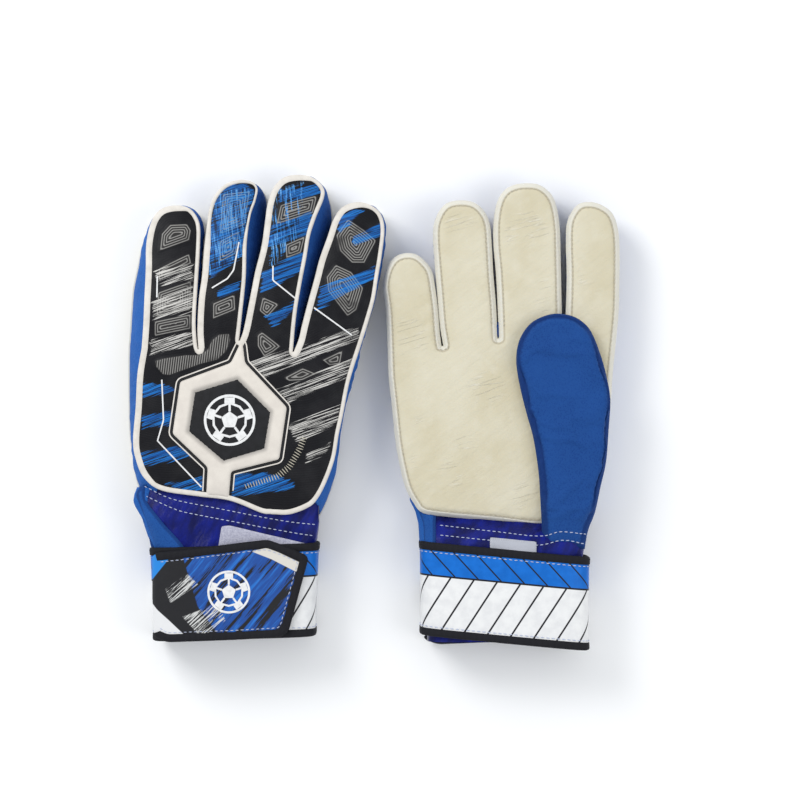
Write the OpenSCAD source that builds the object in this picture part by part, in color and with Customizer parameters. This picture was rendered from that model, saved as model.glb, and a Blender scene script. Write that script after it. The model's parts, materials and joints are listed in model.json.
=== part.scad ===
// A pair of goalkeeper gloves, lying side by side with their fingers along +Y.
// Glove 0 is the left-hand glove, back up, its thumb folded under the palm.
// Glove 1 is the right-hand glove, palm up, its thumb folded over the palm.
// Both are drawn in one glove frame: x and y as they lie, and h measured from the
// palm's outer face towards the back of the hand.

/* [Layers] */
// Thickness of the latex palm and finger fronts
palm_t = 5; // [3:0.5:6]
// Height of the side walls between palm and back
wall_h = 17; // [14:0.5:18]
// Thickness of the padded back of the hand
back_t = 5.5; // [4:0.5:6]
// Thickness of gussets and other cloth walls
wall_t = 2.5; // [1.5:0.5:3]
// Height of the folded thumb and of the cuff beyond the palm's face
fold_h = 12.3; // [11:0.1:14]
// Height of the raised frame on the back
frame_t = 0.8; // [0.5:0.1:1.5]

/* [Fingers] */
// Clearance between pieces that move on each other
gap = 0.3; // [0.2:0.1:0.6]
// Place along Y of the middle knuckles
knuckle_y = 62; // [60:1:66]
// Place along Y of the crotches between the fingers
crotch_y = 39; // [34:1:44]

/* [Wrist] */
// Width of the wrist strap as it lies
strap_w = 97; // [90:1:104]
// Length of the strap along the arm
strap_len = 54; // [45:1:60]
// Thickness of the strap
strap_t = 2.2; // [1.5:0.1:3]
// Width of the strap's sewn edging
edging_w = 3.6; // [2.5:0.1:5]

/* [Hidden] */
SIDES = ["left", "right"];
FINGERS = ["little", "ring", "middle", "index"];
back_h = palm_t + wall_h;
top_h = back_h + back_t;
lie_h = top_h + frame_t;
centre_y = -3.5;

// Each finger: place across at the knuckle, lean to the right, reach beyond it, width
finger = [
    [[-122.5, 7.3, 60.2, 36], [-86.4, 4.7, 74.8, 25.5], [-55, 9.4, 77.6, 33.5], [-17.4, 9, 62, 31]],
    [[21.6, -5, 32.6, 31], [54.5, -2.8, 63.5, 32.5], [92, -2.4, 73.6, 35.5], [128.6, -1.5, 62.4, 31]]
];
// How far each glove's finger tips hang below its palm
tip_drop = [fold_h - gap, 0];

// Edges of the hand, from the wrist up to the crotches
wrist_y = -58;
hand_edge = [
    [[-31.5, wrist_y], [-25, -43], [-20.5, -18], [-15.5, 8], [-9.5, crotch_y],
     [-141, crotch_y], [-144.6, 10], [-144, -22], [-141, -46], [-135, wrist_y]],
    [[129.5, wrist_y], [134, -40], [137.4, -18], [139.6, 8], [141.6, crotch_y],
     [8, crotch_y], [10.2, 8], [13.8, -18], [19, -43], [26, wrist_y]]
];

// Line that each thumb folds on: a point level with the wrist, and its lean
fold_at = [[-27.2, -61], [135.2, -57]];
fold_lean = [10.9, 5.6];
// Outline of the folded thumb: distance in from the fold, and distance along it
thumb_edge = [
    [-2.4, 13], [-1.2, 60], [-2.4, 73], [-9, 87], [-16, 102], [-25, 110], [-35, 113], [-48, 109],
    [-56.5, 98], [-59, 86], [-57, 72], [-50.5, 53], [-45, 38], [-40, 20], [-38, 13]
];
gore_edge = [[-2.4, 4], [-2.4, 12], [-38, 12], [-36, 1]];
thumb_hole = [[-8, 6.5], [-8, 11], [-32, 11], [-32, 6.5]];
thumb_front_t = 2.5;
thumb_cavity_h = fold_h - gap - thumb_front_t - 3;

// Cuff, drawn about the middle of the wrist
cuff_x = [-81.6, 76.8];
strap_top = [-76.5, -81];
strap_low_h = -fold_h;
strap_high_h = top_h - 3.2 - gap;
strap_proud = 0.7;
cuff_round = 9;
tube_w = strap_w - 2 * (strap_t + strap_proud);
tube_low_h = strap_low_h + strap_t + strap_proud;
tube_high_h = strap_high_h - strap_t - strap_proud;
flange_t = 3;
flange_y = wrist_y;
patch_t = 1;
tab_low_h = strap_high_h + gap;
tab_edge = [
    [0, -7], [0, -50], [12, -strap_len], [79, -strap_len + 4], [90.5, -9], [68, 1], [56, 0]
];

// Raised frame on the back, about its own middle
frame_at = [[-82, -2], [76.8, -2]];
frame_edge = [[5, 31], [-29, 20], [-34, -11], [-14, -31], [15, -32], [28, -25], [32, 5]];
stem_edge = [[-15, -30], [-13, -44], [1, -46], [-1, -30]];
frame_w = 8.5;

colour_latex = [0.84, 0.81, 0.72];
colour_back = [0.07, 0.07, 0.09];
colour_jersey = [0.10, 0.30, 0.65];
colour_satin = [0.07, 0.12, 0.60];
colour_frame = [0.88, 0.86, 0.78];
colour_strap = [0.05, 0.42, 0.80];
colour_edging = [0.04, 0.04, 0.05];
colour_loop = [0.74, 0.74, 0.80];

function glove_piece(g, piece) = str(SIDES[g], "_", piece);
function finger_piece(g, f, piece) = str(SIDES[g], "_", FINGERS[f], "_", piece);
HAND_PIECES = ["palm", "back_panel", "side_gussets", "fourchettes", "back_frame", "back_badge",
    "thumb_gore", "wrist_gaiter", "strap_band", "strap_edging", "loop_patch", "size_label",
    "thumb_front", "thumb_back", "strap_tab", "tab_edging", "hook_patch"];
FINGER_PIECES = ["front", "back", "gusset"];

// Points of a closed outline moved inwards by t; the outline runs anticlockwise
function unit(v) = v / norm(v);
function inward(a, b) = let (d = unit(b - a)) [-d[1], d[0]];
function inset(p, t) = [
    for (i = [0:len(p) - 1])
        let (n = inward(p[(i + len(p) - 1) % len(p)], p[i]), m = inward(p[i], p[(i + 1) % len(p)]))
            p[i] + t * (n + m) / (1 + n * m)
];
function arc(c, r, from, to, steps) = [
    for (i = [0:steps]) let (a = from + (to - from) * i / steps) c + r * [cos(a), sin(a)]
];
function rounded(w, low, high, r) = concat(
    arc([w / 2 - r, low + r], r, -90, 0, 5), arc([w / 2 - r, high - r], r, 0, 90, 5),
    arc([r - w / 2, high - r], r, 90, 180, 5), arc([r - w / 2, low + r], r, 180, 270, 5)
);
function finger_edge(w, start, reach) = concat(
    [[-w / 2, start], [w / 2, start]], arc([0, reach - w / 2], w / 2, 0, 180, 14)
);

// Puts glove 0 back up and glove 1 palm up, both standing on z = 0
module lay(g) {
    translate([0, centre_y, g == 0 ? fold_h : lie_h])
        mirror([0, 0, g])
            children();
}

module slab(low, high) {
    translate([0, 0, low])
        linear_extrude(height = high - low)
            children();
}

module at_knuckle(g, f) {
    translate([finger[g][f][0], knuckle_y])
        rotate(-finger[g][f][1])
            children();
}

module on_finger(g, f) {
    translate([finger[g][f][0], knuckle_y, 0])
        rotate([0, 0, -finger[g][f][1]])
            rotate([-asin(tip_drop[g] / finger[g][f][2]), 0, 0])
                children();
}

module on_fold(g) {
    translate([fold_at[g][0], fold_at[g][1], 0])
        rotate([0, 0, -fold_lean[g]])
            children();
}

module stub(g, f, t, low, high) {
    w = finger[g][f][3] - 2 * t;
    at_knuckle(g, f)
        translate([-w / 2, low])
            square([w, high - low]);
}

module hand_plan(g) {
    polygon(hand_edge[g]);
    for (f = [0:3])
        stub(g, f, 0, crotch_y - knuckle_y - 4, 0);
}

module hand_hollow(g) {
    difference() {
        polygon(inset(hand_edge[g], wall_t));
        translate([-200, wrist_y - 1])
            square([400, wall_t + 1.01]);
    }
    intersection() {
        polygon(hand_edge[g]);
        translate([cuff_x[g] - strap_w / 2 + 2 * wall_t, wrist_y - 1])
            square([strap_w - 4 * wall_t, 10]);
    }
    for (f = [0:3])
        stub(g, f, wall_t, crotch_y - knuckle_y - 12, 1);
}

module hand_walls(g) {
    difference() {
        hand_plan(g);
        hand_hollow(g);
    }
}

// Middle of the hand, from the little finger's centre line to the index finger's
module between_outer_fingers(g) {
    polygon([[finger[g][0][0] + 8, crotch_y - 20], [finger[g][3][0] - 8, crotch_y - 20],
        [finger[g][3][0], knuckle_y + 20], [finger[g][0][0], knuckle_y + 20]]);
}

module palm(g) {
    color(colour_latex)
        lay(g)
            difference() {
                slab(0, palm_t)
                    hand_plan(g);
                on_fold(g)
                    slab(-1, palm_t + 1)
                        polygon(thumb_hole);
            }
}

module back_panel(g) {
    color(colour_back)
        lay(g)
            slab(back_h, top_h)
                hand_plan(g);
}

module side_gussets(g) {
    color(colour_jersey)
        lay(g)
            slab(palm_t, back_h)
                difference() {
                    hand_walls(g);
                    between_outer_fingers(g);
                }
}

module fourchettes(g) {
    color(colour_jersey)
        lay(g)
            slab(palm_t, back_h)
                intersection() {
                    hand_walls(g);
                    between_outer_fingers(g);
                }
}

module back_frame(g) {
    color(colour_frame)
        lay(g)
            translate(frame_at[g])
                slab(top_h, lie_h)
                    difference() {
                        union() {
                            polygon(frame_edge);
                            polygon(stem_edge);
                        }
                        polygon(inset(frame_edge, frame_w));
                    }
}

module back_badge(g) {
    color(colour_back)
        lay(g)
            translate(frame_at[g])
                slab(top_h, lie_h - gap)
                    polygon(inset(frame_edge, frame_w));
}

module finger_front(g, f) {
    color(colour_latex)
        lay(g)
            on_finger(g, f)
                slab(0, palm_t)
                    polygon(finger_edge(finger[g][f][3], gap, finger[g][f][2]));
}

module finger_back(g, f) {
    color(colour_back)
        lay(g)
            on_finger(g, f)
                slab(back_h, top_h)
                    polygon(finger_edge(finger[g][f][3], gap, finger[g][f][2]));
}

module finger_gusset(g, f) {
    w = finger[g][f][3];
    color(colour_jersey)
        lay(g)
            on_finger(g, f)
                slab(palm_t, back_h)
                    difference() {
                        polygon(finger_edge(w, gap, finger[g][f][2]));
                        polygon(finger_edge(w - 2 * wall_t, -1, finger[g][f][2] - wall_t));
                    }
}

module thumb_gore(g) {
    color(colour_jersey)
        lay(g)
            on_fold(g)
                difference() {
                    slab(-fold_h, 0)
                        polygon(gore_edge);
                    slab(-gap - thumb_front_t - thumb_cavity_h, 1)
                        translate([-33, 6.5])
                            square([26, 20]);
                }
}

module thumb_front(g) {
    color(colour_latex)
        lay(g)
            on_fold(g)
                slab(-gap - thumb_front_t, -gap)
                    polygon(thumb_edge);
}

module thumb_back(g) {
    color(colour_jersey)
        lay(g)
            on_fold(g)
                difference() {
                    slab(-fold_h, -gap - thumb_front_t)
                        polygon(thumb_edge);
                    slab(-gap - thumb_front_t - thumb_cavity_h, 1) {
                        polygon(inset(thumb_edge, wall_t));
                        translate([-33, 5])
                            square([26, 20]);
                    }
                }
}

// Rings about the arm: an outline in x and h, swept down the arm
module around_arm(g, y_high, y_low) {
    translate([cuff_x[g], y_high, 0])
        rotate([90, 0, 0])
            linear_extrude(height = y_high - y_low)
                children();
}

module wrist_gaiter(g) {
    low = strap_top[g] - strap_len + edging_w;
    color(colour_satin)
        lay(g) {
            around_arm(g, flange_y, flange_y - flange_t)
                difference() {
                    polygon(rounded(tube_w + 7, tube_low_h, top_h, cuff_round));
                    polygon(rounded(tube_w - 12, palm_t, tube_high_h - 3, 4));
                }
            around_arm(g, flange_y - flange_t, low)
                difference() {
                    polygon(rounded(tube_w, tube_low_h, tube_high_h, cuff_round - 3));
                    polygon(rounded(tube_w - 6, tube_low_h + 3, tube_high_h - 3, 4));
                }
        }
}

module strap_band(g) {
    color(colour_strap)
        lay(g)
            around_arm(g, strap_top[g] - edging_w, strap_top[g] - strap_len + edging_w)
                difference() {
                    polygon(rounded(strap_w - 2 * strap_proud, strap_low_h + strap_proud,
                        strap_high_h - strap_proud, cuff_round));
                    polygon(rounded(tube_w, tube_low_h, tube_high_h, cuff_round - 3));
                }
}

module strap_edging(g) {
    color(colour_edging)
        lay(g)
            for (y = [strap_top[g], strap_top[g] - strap_len + edging_w])
                around_arm(g, y, y - edging_w)
                    difference() {
                        polygon(rounded(strap_w, strap_low_h, strap_high_h, cuff_round));
                        polygon(rounded(tube_w, tube_low_h, tube_high_h, cuff_round - 3));
                    }
}

module loop_patch(g) {
    color(colour_loop)
        lay(g)
            slab(tube_high_h, tube_high_h + patch_t)
                translate([cuff_x[g] - 7, strap_top[g] + gap])
                    square([46, 12]);
}

module size_label(g) {
    color(colour_loop)
        lay(g)
            slab(tube_low_h - patch_t, tube_low_h)
                translate([cuff_x[g] + 5, strap_top[g] + gap])
                    square([26, 7]);
}

module on_tab(g) {
    translate([cuff_x[g] - strap_w / 2 - gap, strap_top[g], 0])
        children();
}

module strap_tab(g) {
    color(colour_strap)
        lay(g)
            on_tab(g)
                slab(tab_low_h + patch_t, lie_h - frame_t)
                    polygon(inset(tab_edge, edging_w));
}

module tab_edging(g) {
    color(colour_edging)
        lay(g)
            on_tab(g)
                slab(tab_low_h, lie_h)
                    difference() {
                        polygon(tab_edge);
                        polygon(inset(tab_edge, edging_w));
                    }
}

module hook_patch(g) {
    color(colour_loop)
        lay(g)
            on_tab(g)
                slab(tab_low_h, tab_low_h + patch_t)
                    translate([44, -40])
                        square([30, 28]);
}

for (g = [0, 1]) {
    palm(g);
    back_panel(g);
    side_gussets(g);
    fourchettes(g);
    back_frame(g);
    back_badge(g);
    thumb_gore(g);
    wrist_gaiter(g);
    strap_band(g);
    strap_edging(g);
    loop_patch(g);
    size_label(g);
    thumb_front(g);
    thumb_back(g);
    strap_tab(g);
    tab_edging(g);
    hook_patch(g);
    for (f = [0:3]) {
        finger_front(g, f);
        finger_back(g, f);
        finger_gusset(g, f);
    }
}
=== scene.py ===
import json
from math import atan, cos, pi, radians, sin

import bmesh
import bpy
import numpy as np
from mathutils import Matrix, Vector
from mathutils.geometry import delaunay_2d_cdt


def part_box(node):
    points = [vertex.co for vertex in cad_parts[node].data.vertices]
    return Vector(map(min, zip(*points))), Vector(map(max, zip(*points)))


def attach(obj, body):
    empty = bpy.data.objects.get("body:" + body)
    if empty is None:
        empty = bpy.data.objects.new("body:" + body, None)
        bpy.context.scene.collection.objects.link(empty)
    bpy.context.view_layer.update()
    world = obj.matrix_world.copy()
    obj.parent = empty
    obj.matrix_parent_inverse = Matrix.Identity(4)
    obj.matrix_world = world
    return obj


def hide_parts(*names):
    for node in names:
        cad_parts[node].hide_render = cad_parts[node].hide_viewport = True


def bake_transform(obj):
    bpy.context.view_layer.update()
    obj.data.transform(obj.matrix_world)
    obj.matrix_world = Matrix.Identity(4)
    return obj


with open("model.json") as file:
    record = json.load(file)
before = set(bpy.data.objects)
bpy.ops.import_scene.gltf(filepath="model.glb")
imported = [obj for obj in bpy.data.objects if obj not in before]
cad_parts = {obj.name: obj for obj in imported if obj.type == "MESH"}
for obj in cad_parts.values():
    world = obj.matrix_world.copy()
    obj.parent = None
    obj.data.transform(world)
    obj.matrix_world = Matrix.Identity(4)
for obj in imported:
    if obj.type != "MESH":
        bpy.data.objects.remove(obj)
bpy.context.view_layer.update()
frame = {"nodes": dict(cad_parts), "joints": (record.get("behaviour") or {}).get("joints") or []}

# ---------------------------------------------------------------- studio
# A pale table top, two wide soft lamps and a dim sky. The camera hangs over the pair,
# looking straight down with a long lens.
scene = bpy.context.scene
scene.view_settings.view_transform = "Standard"
VIEW_WIDTH = 0.4696
VIEW_MIDDLE = (0.0156, 0.0047)
CAMERA_HEIGHT = 1.6
GLOVE_MIDDLE_Z = 0.025
camera_data = bpy.data.cameras.new("camera")
camera_data.sensor_width = 36
camera_data.lens = camera_data.sensor_width * CAMERA_HEIGHT / VIEW_WIDTH
camera = bpy.data.objects.new("camera", camera_data)
camera.location = (*VIEW_MIDDLE, CAMERA_HEIGHT + GLOVE_MIDDLE_Z)
scene.collection.objects.link(camera)
scene.camera = camera


def soft_lamp(name, place, size, power):
    """A square lamp, aimed at the middle of the table."""
    data = bpy.data.lights.new(name, "AREA")
    data.shape = "RECTANGLE"
    data.size = data.size_y = size
    data.energy = power
    lamp = bpy.data.objects.new(name, data)
    lamp.location = place
    lamp.rotation_euler = (-Vector(place)).to_track_quat("-Z", "Y").to_euler()
    scene.collection.objects.link(lamp)


soft_lamp("lamp_left", (-0.9, 0.9, 1.1), size=0.7, power=13)
soft_lamp("lamp_right", (1.0, -0.2, 1.2), size=0.9, power=5)
sky = bpy.data.worlds.new("sky")
sky.use_nodes = True
sky.node_tree.nodes["Background"].inputs["Color"].default_value = (0.93, 0.96, 1.0, 1)
sky.node_tree.nodes["Background"].inputs["Strength"].default_value = 0.78
scene.world = sky

floor_data = bpy.data.meshes.new("table_top")
floor_data.from_pydata([(-3, -3, 0), (3, -3, 0), (3, 3, 0), (-3, 3, 0)], [], [(0, 1, 2, 3)])
floor = bpy.data.objects.new("table_top", floor_data)
scene.collection.objects.link(floor)
floor_paint = bpy.data.materials.new("pale_table")
floor_paint.use_nodes = True
floor_shader = floor_paint.node_tree.nodes["Principled BSDF"]
floor_shader.inputs["Base Color"].default_value = (0.96, 0.96, 0.955, 1)
floor_shader.inputs["Roughness"].default_value = 0.7
floor_data.materials.append(floor_paint)

# ---------------------------------------------------------------- latex palms and finger fronts
# Each palm is one sheet of foamed latex, die cut with the four finger fronts and rolled
# over its edge, with a row of stitching just inside that edge. It is cut here at each
# middle knuckle, where the finger bends. Outlines are in mm, as the gloves lie.
MM = 0.001
GLOVES = ("left", "right")
FINGERS = ("little", "ring", "middle", "index")
LIE_Y = -3.5
PALM_Z = {"left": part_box("left_palm")[0].z / MM, "right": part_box("right_palm")[1].z / MM}
UP = {"left": 1, "right": -1}
CUT_BEFORE = 9.0
BEND_AFTER = 7.0
TIP_DROP = {"left": 12.0, "right": 0.0}
POINT_STEP = 1.2
LEAST_STEP = 0.15
OFF_TABLE = 0.05
LATEX_THICK = 5.0
SEAM_IN = 3.3

# Silhouettes: up the little finger's outside, over each tip in turn, down the index side
palm_edge = {
    "left": {
        "little": [(-144, 43.5), (-143, 60), (-142, 74), (-139.5, 87), (-137, 100.5), (-133.5, 109),
                   (-129.5, 116), (-123, 121), (-115, 122.5), (-107, 121), (-102.5, 116),
                   (-100.5, 108), (-101.5, 93.5), (-102, 73), (-102, 52), (-100.5, 40)],
        "ring": [(-100, 40), (-101.5, 52), (-100, 73), (-98.5, 89), (-97, 107), (-95.5, 119.5),
                 (-92, 128.5), (-86.5, 134.5), (-79, 137), (-71.5, 136), (-66, 132), (-63, 125.5),
                 (-63, 114), (-65.5, 101), (-68.5, 87), (-72, 67), (-75.5, 49.5), (-77, 40)],
        "middle": [(-76.5, 40), (-73.5, 54), (-70, 69.5), (-66.5, 84.5), (-63.5, 101), (-62.5, 115),
                   (-61, 124), (-58, 132), (-52.5, 137.5), (-45, 139.5), (-35.5, 138.5),
                   (-29, 132.5), (-25, 122), (-24.5, 111.5), (-28, 100), (-32.5, 84.5),
                   (-38, 65.5), (-43, 47), (-46, 36.5)],
        "index": [(-45.5, 36.5), (-41, 50.5), (-36, 67), (-31.5, 84.5), (-26.5, 101), (-23, 113.5),
                  (-18, 121), (-9.5, 124), (-1.5, 122.5), (4.7, 117.5), (6.7, 109), (6.2, 96.5),
                  (4, 83.5), (0.5, 69.5), (-3, 57.5), (-7, 44.5)],
        "down": [(-7, 44.5), (-9, 34), (-12, 20), (-16, 8), (-19, -4.5), (-20.5, -20), (-22, -33),
                 (-24.5, -43.5), (-28.5, -54), (-31.5, -60)],
        "up": [(-130, -60), (-134.5, -53), (-137.5, -46), (-140.5, -36.5), (-142.5, -22.5), (-144, -9.5),
               (-144.5, 14), (-144.5, 37), (-144, 43.5)],
    },
    "right": {
        "little": [(8.5, 31.5), (8, 46.5), (7.3, 60), (6.3, 68), (5.5, 74.5), (6.5, 81.5), (9, 88),
                   (13, 92.5), (19, 94.5), (25.5, 93.5), (31, 89), (34.5, 83.5), (36.5, 73),
                   (38, 61), (39, 48), (40, 40)],
        "ring": [(41, 40), (39, 52), (37.5, 70), (36, 87.5), (35, 102), (35.5, 111.5), (38.5, 119),
                 (43.5, 124), (51.5, 125.5), (59.5, 124), (65.5, 118.5), (68.5, 111), (69.5, 99),
                 (70.5, 81.5), (72, 64), (73, 44.5)],
        "middle": [(73.5, 44.5), (73, 61), (72, 81.5), (70.5, 99), (70.5, 112.5), (72.5, 124),
                   (76.5, 131), (82.5, 134.5), (89.5, 135.5), (97.5, 134.5), (104, 129.5),
                   (107.5, 122), (109.5, 109), (110, 90.5), (110.5, 67), (111, 44.5)],
        "index": [(112, 44.5), (113, 61), (113.5, 81.5), (113, 99), (113.5, 111.5), (116.5, 119),
                  (121, 123.5), (127.5, 124.5), (134.5, 122.5), (140.5, 117.5), (143.5, 109),
                  (144.5, 98.5), (144.5, 78.5), (144, 60), (142.5, 43.5)],
        "down": [(142.5, 43.5), (140.5, 23.5), (139.5, 8), (138, -9.5), (136.5, -28), (133.5, -40),
                 (130.5, -51), (127, -61), (98.5, -65.5), (70, -62.8), (44, -60.5)],
        "up": [(42, -60.3), (35, -59.5), (30, -58.5), (26.5, -56.5), (24, -53), (21.5, -49),
               (18.5, -42.5), (15.5, -30.5), (13, -16.5), (11, 2.5), (9, 21), (8.5, 31.5)],
    },
}


def smooth_line(points, step=POINT_STEP):
    """A curve through the points, with points an even step apart."""
    p = np.array(points, float)
    p = np.vstack([2 * p[0] - p[1], p, 2 * p[-1] - p[-2]])
    t = np.linspace(0, 1, 12, endpoint=False)[:, None]
    runs = []
    for a, b, c, d in zip(p[:-3], p[1:-2], p[2:-1], p[3:]):
        runs.append(0.5 * (2 * b + (c - a) * t + (2 * a - 5 * b + 4 * c - d) * t**2
                           + (3 * b - a - 3 * c + d) * t**3))
    return even(np.vstack(runs + [p[-2:-1]]), step)


def even(line, step=None, count=None):
    """The same line with evenly spaced points."""
    far = np.concatenate([[0], np.cumsum(np.linalg.norm(np.diff(line, axis=0), axis=1))])
    if count is None:
        count = max(2, int(round(far[-1] / step)) + 1)
    at = np.linspace(0, far[-1], count)
    return np.stack([np.interp(at, far, line[:, k]) for k in range(line.shape[1])], axis=1)


class Knuckle:
    """Where a finger bends: its middle, the way the finger points, and how far it reaches."""

    def __init__(self, side, finger):
        joint = next(j for j in frame["joints"] if j["name"] == f"{side}_{finger}_bend")
        across = Vector(joint["axis"]) * (1 if joint["axis"][0] > 0 else -1)
        self.at = np.array([joint["pos_m"][0] / MM, joint["pos_m"][1] / MM - LIE_Y])
        self.across = np.array([across.x, across.y])
        self.along = np.array([-across.y, across.x])
        edge = np.array(palm_edge[side][finger], float)
        self.reach = float(((edge - self.at) @ self.along).max())

    def past(self, xy):
        return (np.asarray(xy) - self.at) @ self.along


KNUCKLE = {(s, f): Knuckle(s, f) for s in GLOVES for f in FINGERS}


def lie(side, finger, xy):
    """Height of the palm's outer face over the table: the left glove's fingers slope down."""
    xy = np.asarray(xy, float)
    if finger is None or TIP_DROP[side] == 0:
        return np.full(len(xy), PALM_Z[side])
    k = KNUCKLE[side, finger]
    past = k.past(xy)
    eased = np.where(past < -8, 0, np.where(past > 8, past, (past + 8) ** 2 / 32))
    return PALM_Z[side] - TIP_DROP[side] * eased / k.reach


def to_world(side, finger, xy, h):
    """Points in metres from places in the glove's plan and heights above its palm face."""
    xy = np.asarray(xy, float)
    z = lie(side, finger, xy) + UP[side] * np.asarray(h, float)
    return np.column_stack([xy[:, 0], xy[:, 1] + LIE_Y, np.maximum(z, OFF_TABLE)]) * MM


def inside(points, ring):
    """Which points lie inside a closed ring."""
    a, b = ring, np.roll(ring, -1, axis=0)
    hits = np.zeros(len(points), bool)
    for (ax, ay), (bx, by) in zip(a, b):
        if ay != by:
            spans = (ay > points[:, 1]) != (by > points[:, 1])
            hits ^= spans & (points[:, 0] < (bx - ax) * (points[:, 1] - ay) / (by - ay) + ax)
    return hits


def distance_to(points, line, closed=False):
    """Distance of each point from the nearest place on a line."""
    a = line
    b = np.roll(line, -1, axis=0)
    if not closed:
        a, b = a[:-1], b[:-1]
    d = b - a
    length2 = np.maximum((d**2).sum(1), 1e-9)
    out = np.empty(len(points))
    for i in range(0, len(points), 2000):
        p = points[i:i + 2000, None, :] - a[None]
        t = np.clip((p * d[None]).sum(2) / length2[None], 0, 1)
        out[i:i + 2000] = np.sqrt((((p - t[..., None] * d[None]) ** 2).sum(2)).min(1))
    return out


def in_polygon(points, corners):
    """Signed distance in mm from a polygon's edge, above 0 inside it."""
    ring = np.array(corners, float)
    d = distance_to(points, ring, closed=True)
    return np.where(inside(points, ring), d, -d)


def outline_of(edges):
    """The whole outline of one glove as separate smooth runs, clockwise from the wrist."""
    runs = {name: smooth_line(edges[name]) for name in ("up",) + FINGERS + ("down",)}
    runs["foot"] = even(np.array([runs["down"][-1], runs["up"][0]]), POINT_STEP)
    return runs


def cut_at_knuckles(side, runs):
    """Splits an outline into the hand's ring and one ring for each finger past its cut."""
    hand, fingers, sides = [runs["up"]], {}, {}
    for finger in FINGERS:
        k = KNUCKLE[side, finger]
        line = runs[finger]
        past = k.past(line) + CUT_BEFORE
        beyond = np.nonzero(past > 0)[0]
        first, last = beyond[0], beyond[-1]

        def crossing(i, j):
            t = past[i] / (past[i] - past[j])
            return line[i] + t * (line[j] - line[i])
        a, b = crossing(first - 1, first), crossing(last, last + 1)
        seam = even(np.array([a, b]), POINT_STEP)
        fingers[finger] = (np.vstack([a[None], line[first:last + 1], b[None]]), seam)
        hand += [line[:first], seam, line[last + 1:]]
        sides[finger] = (np.vstack([line[:first], a[None]]), np.vstack([b[None], line[last + 1:]]))
    hand += [runs["down"], runs["foot"][1:-1]]
    return spaced_ring(hand), fingers, sides


def spaced_ring(parts):
    """One ring from its parts, without points that lie on each other."""
    ring = np.vstack(parts)
    return ring[np.linalg.norm(ring - np.roll(ring, 1, axis=0), axis=1) > LEAST_STEP]


def whole_ring(runs):
    return spaced_ring([runs["up"]] + [runs[f] for f in FINGERS] + [runs["down"], runs["foot"][1:-1]])


def away_from_edge(ring):
    """The direction into the sheet at each point of a ring."""
    ahead = np.roll(ring, -1, axis=0) - np.roll(ring, 1, axis=0)
    ahead /= np.maximum(np.linalg.norm(ahead, axis=1), 1e-9)[:, None]
    area = np.sum(ring[:, 0] * np.roll(ring[:, 1], -1) - ring[:, 1] * np.roll(ring[:, 0], -1))
    return np.column_stack([-ahead[:, 1], ahead[:, 0]]) * (1 if area > 0 else -1)


def fill_ring(ring, border, pitch=1.3, rows=(0.35, 0.8, 1.4, 2.2, 3.1)):
    """Triangles over a closed ring, with extra rows of points beside its border."""
    low, high = ring.min(0), ring.max(0)
    xs = np.arange(low[0], high[0], pitch)
    ys = np.arange(low[1], high[1], pitch * 0.866)
    gx, gy = np.meshgrid(xs, ys)
    gx = gx + (np.arange(len(ys)) % 2)[:, None] * pitch / 2
    grid = np.column_stack([gx.ravel(), gy.ravel()])
    grid = grid[inside(grid, ring)]
    grid = grid[distance_to(grid, ring, True) > 0.6 * pitch]
    grid = grid[distance_to(grid, border, True) > rows[-1] + 0.5 * pitch]
    extra = [grid]
    inward = away_from_edge(border)
    for row in rows:
        line = border + inward * row
        line = line[inside(line, ring)]
        line = line[distance_to(line, border, True) > 0.9 * row]
        line = line[distance_to(line, ring, True) > 0.3]
        extra.append(line)
    points = np.vstack([ring] + extra)
    edges = [(i, (i + 1) % len(ring)) for i in range(len(ring))]
    got = delaunay_2d_cdt([Vector(p) for p in points], edges, [], 1, 1e-5)
    return np.array([list(v) for v in got[0]]), got[2]


def mesh_piece(name, points, faces, material, sharp=50, fields=None):
    """A closed mesh piece in metres, its faces turned outwards, with its own point fields."""
    data = bpy.data.meshes.new(name)
    data.from_pydata([tuple(p) for p in points], [], [tuple(f) for f in faces])
    for field, values in (fields or {}).items():
        values = np.asarray(values, np.float32)
        if values.ndim == 1:
            data.attributes.new(field, "FLOAT", "POINT").data.foreach_set("value", values)
        else:
            store = data.attributes.new(field, "FLOAT_VECTOR", "POINT")
            store.data.foreach_set("vector", values.ravel())
    work = bmesh.new()
    work.from_mesh(data)
    bmesh.ops.recalc_face_normals(work, faces=work.faces)
    work.to_mesh(data)
    work.free()
    for face in data.polygons:
        face.use_smooth = True
    data.set_sharp_from_angle(angle=radians(sharp))
    data.materials.append(material)
    piece = bpy.data.objects.new(name, data)
    scene.collection.objects.link(piece)
    return piece


def padded_sheet(name, side, finger, ring, border, near, far, material, fields=None, **how):
    """A closed padded sheet over a ring: near and far give its two faces' heights."""
    points, faces = fill_ring(ring, border, **how)
    depth = distance_to(points, border, True)
    count = len(points)
    edge_of = {}
    for face in faces:
        for a, b in zip(face, face[1:] + face[:1]):
            edge_of[(a, b)] = edge_of.get((a, b), 0) + 1
    rim = [(a, b) for (a, b) in edge_of if (b, a) not in edge_of]
    tops = to_world(side, finger, points, near(points, depth))
    bottoms = to_world(side, finger, points, far(points, depth))
    walls = [(b, a, a + count, b + count) for a, b in rim]
    sheets = [tuple(f) for f in faces] + [tuple(i + count for i in reversed(f)) for f in faces]
    extra = {k: np.concatenate([v(points, depth)] * 2) for k, v in (fields or {}).items()}
    extra["face_side"] = np.repeat([1.0, 0.0], count)
    return mesh_piece(name, np.vstack([tops, bottoms]), sheets + walls, material, fields=extra)


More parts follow.
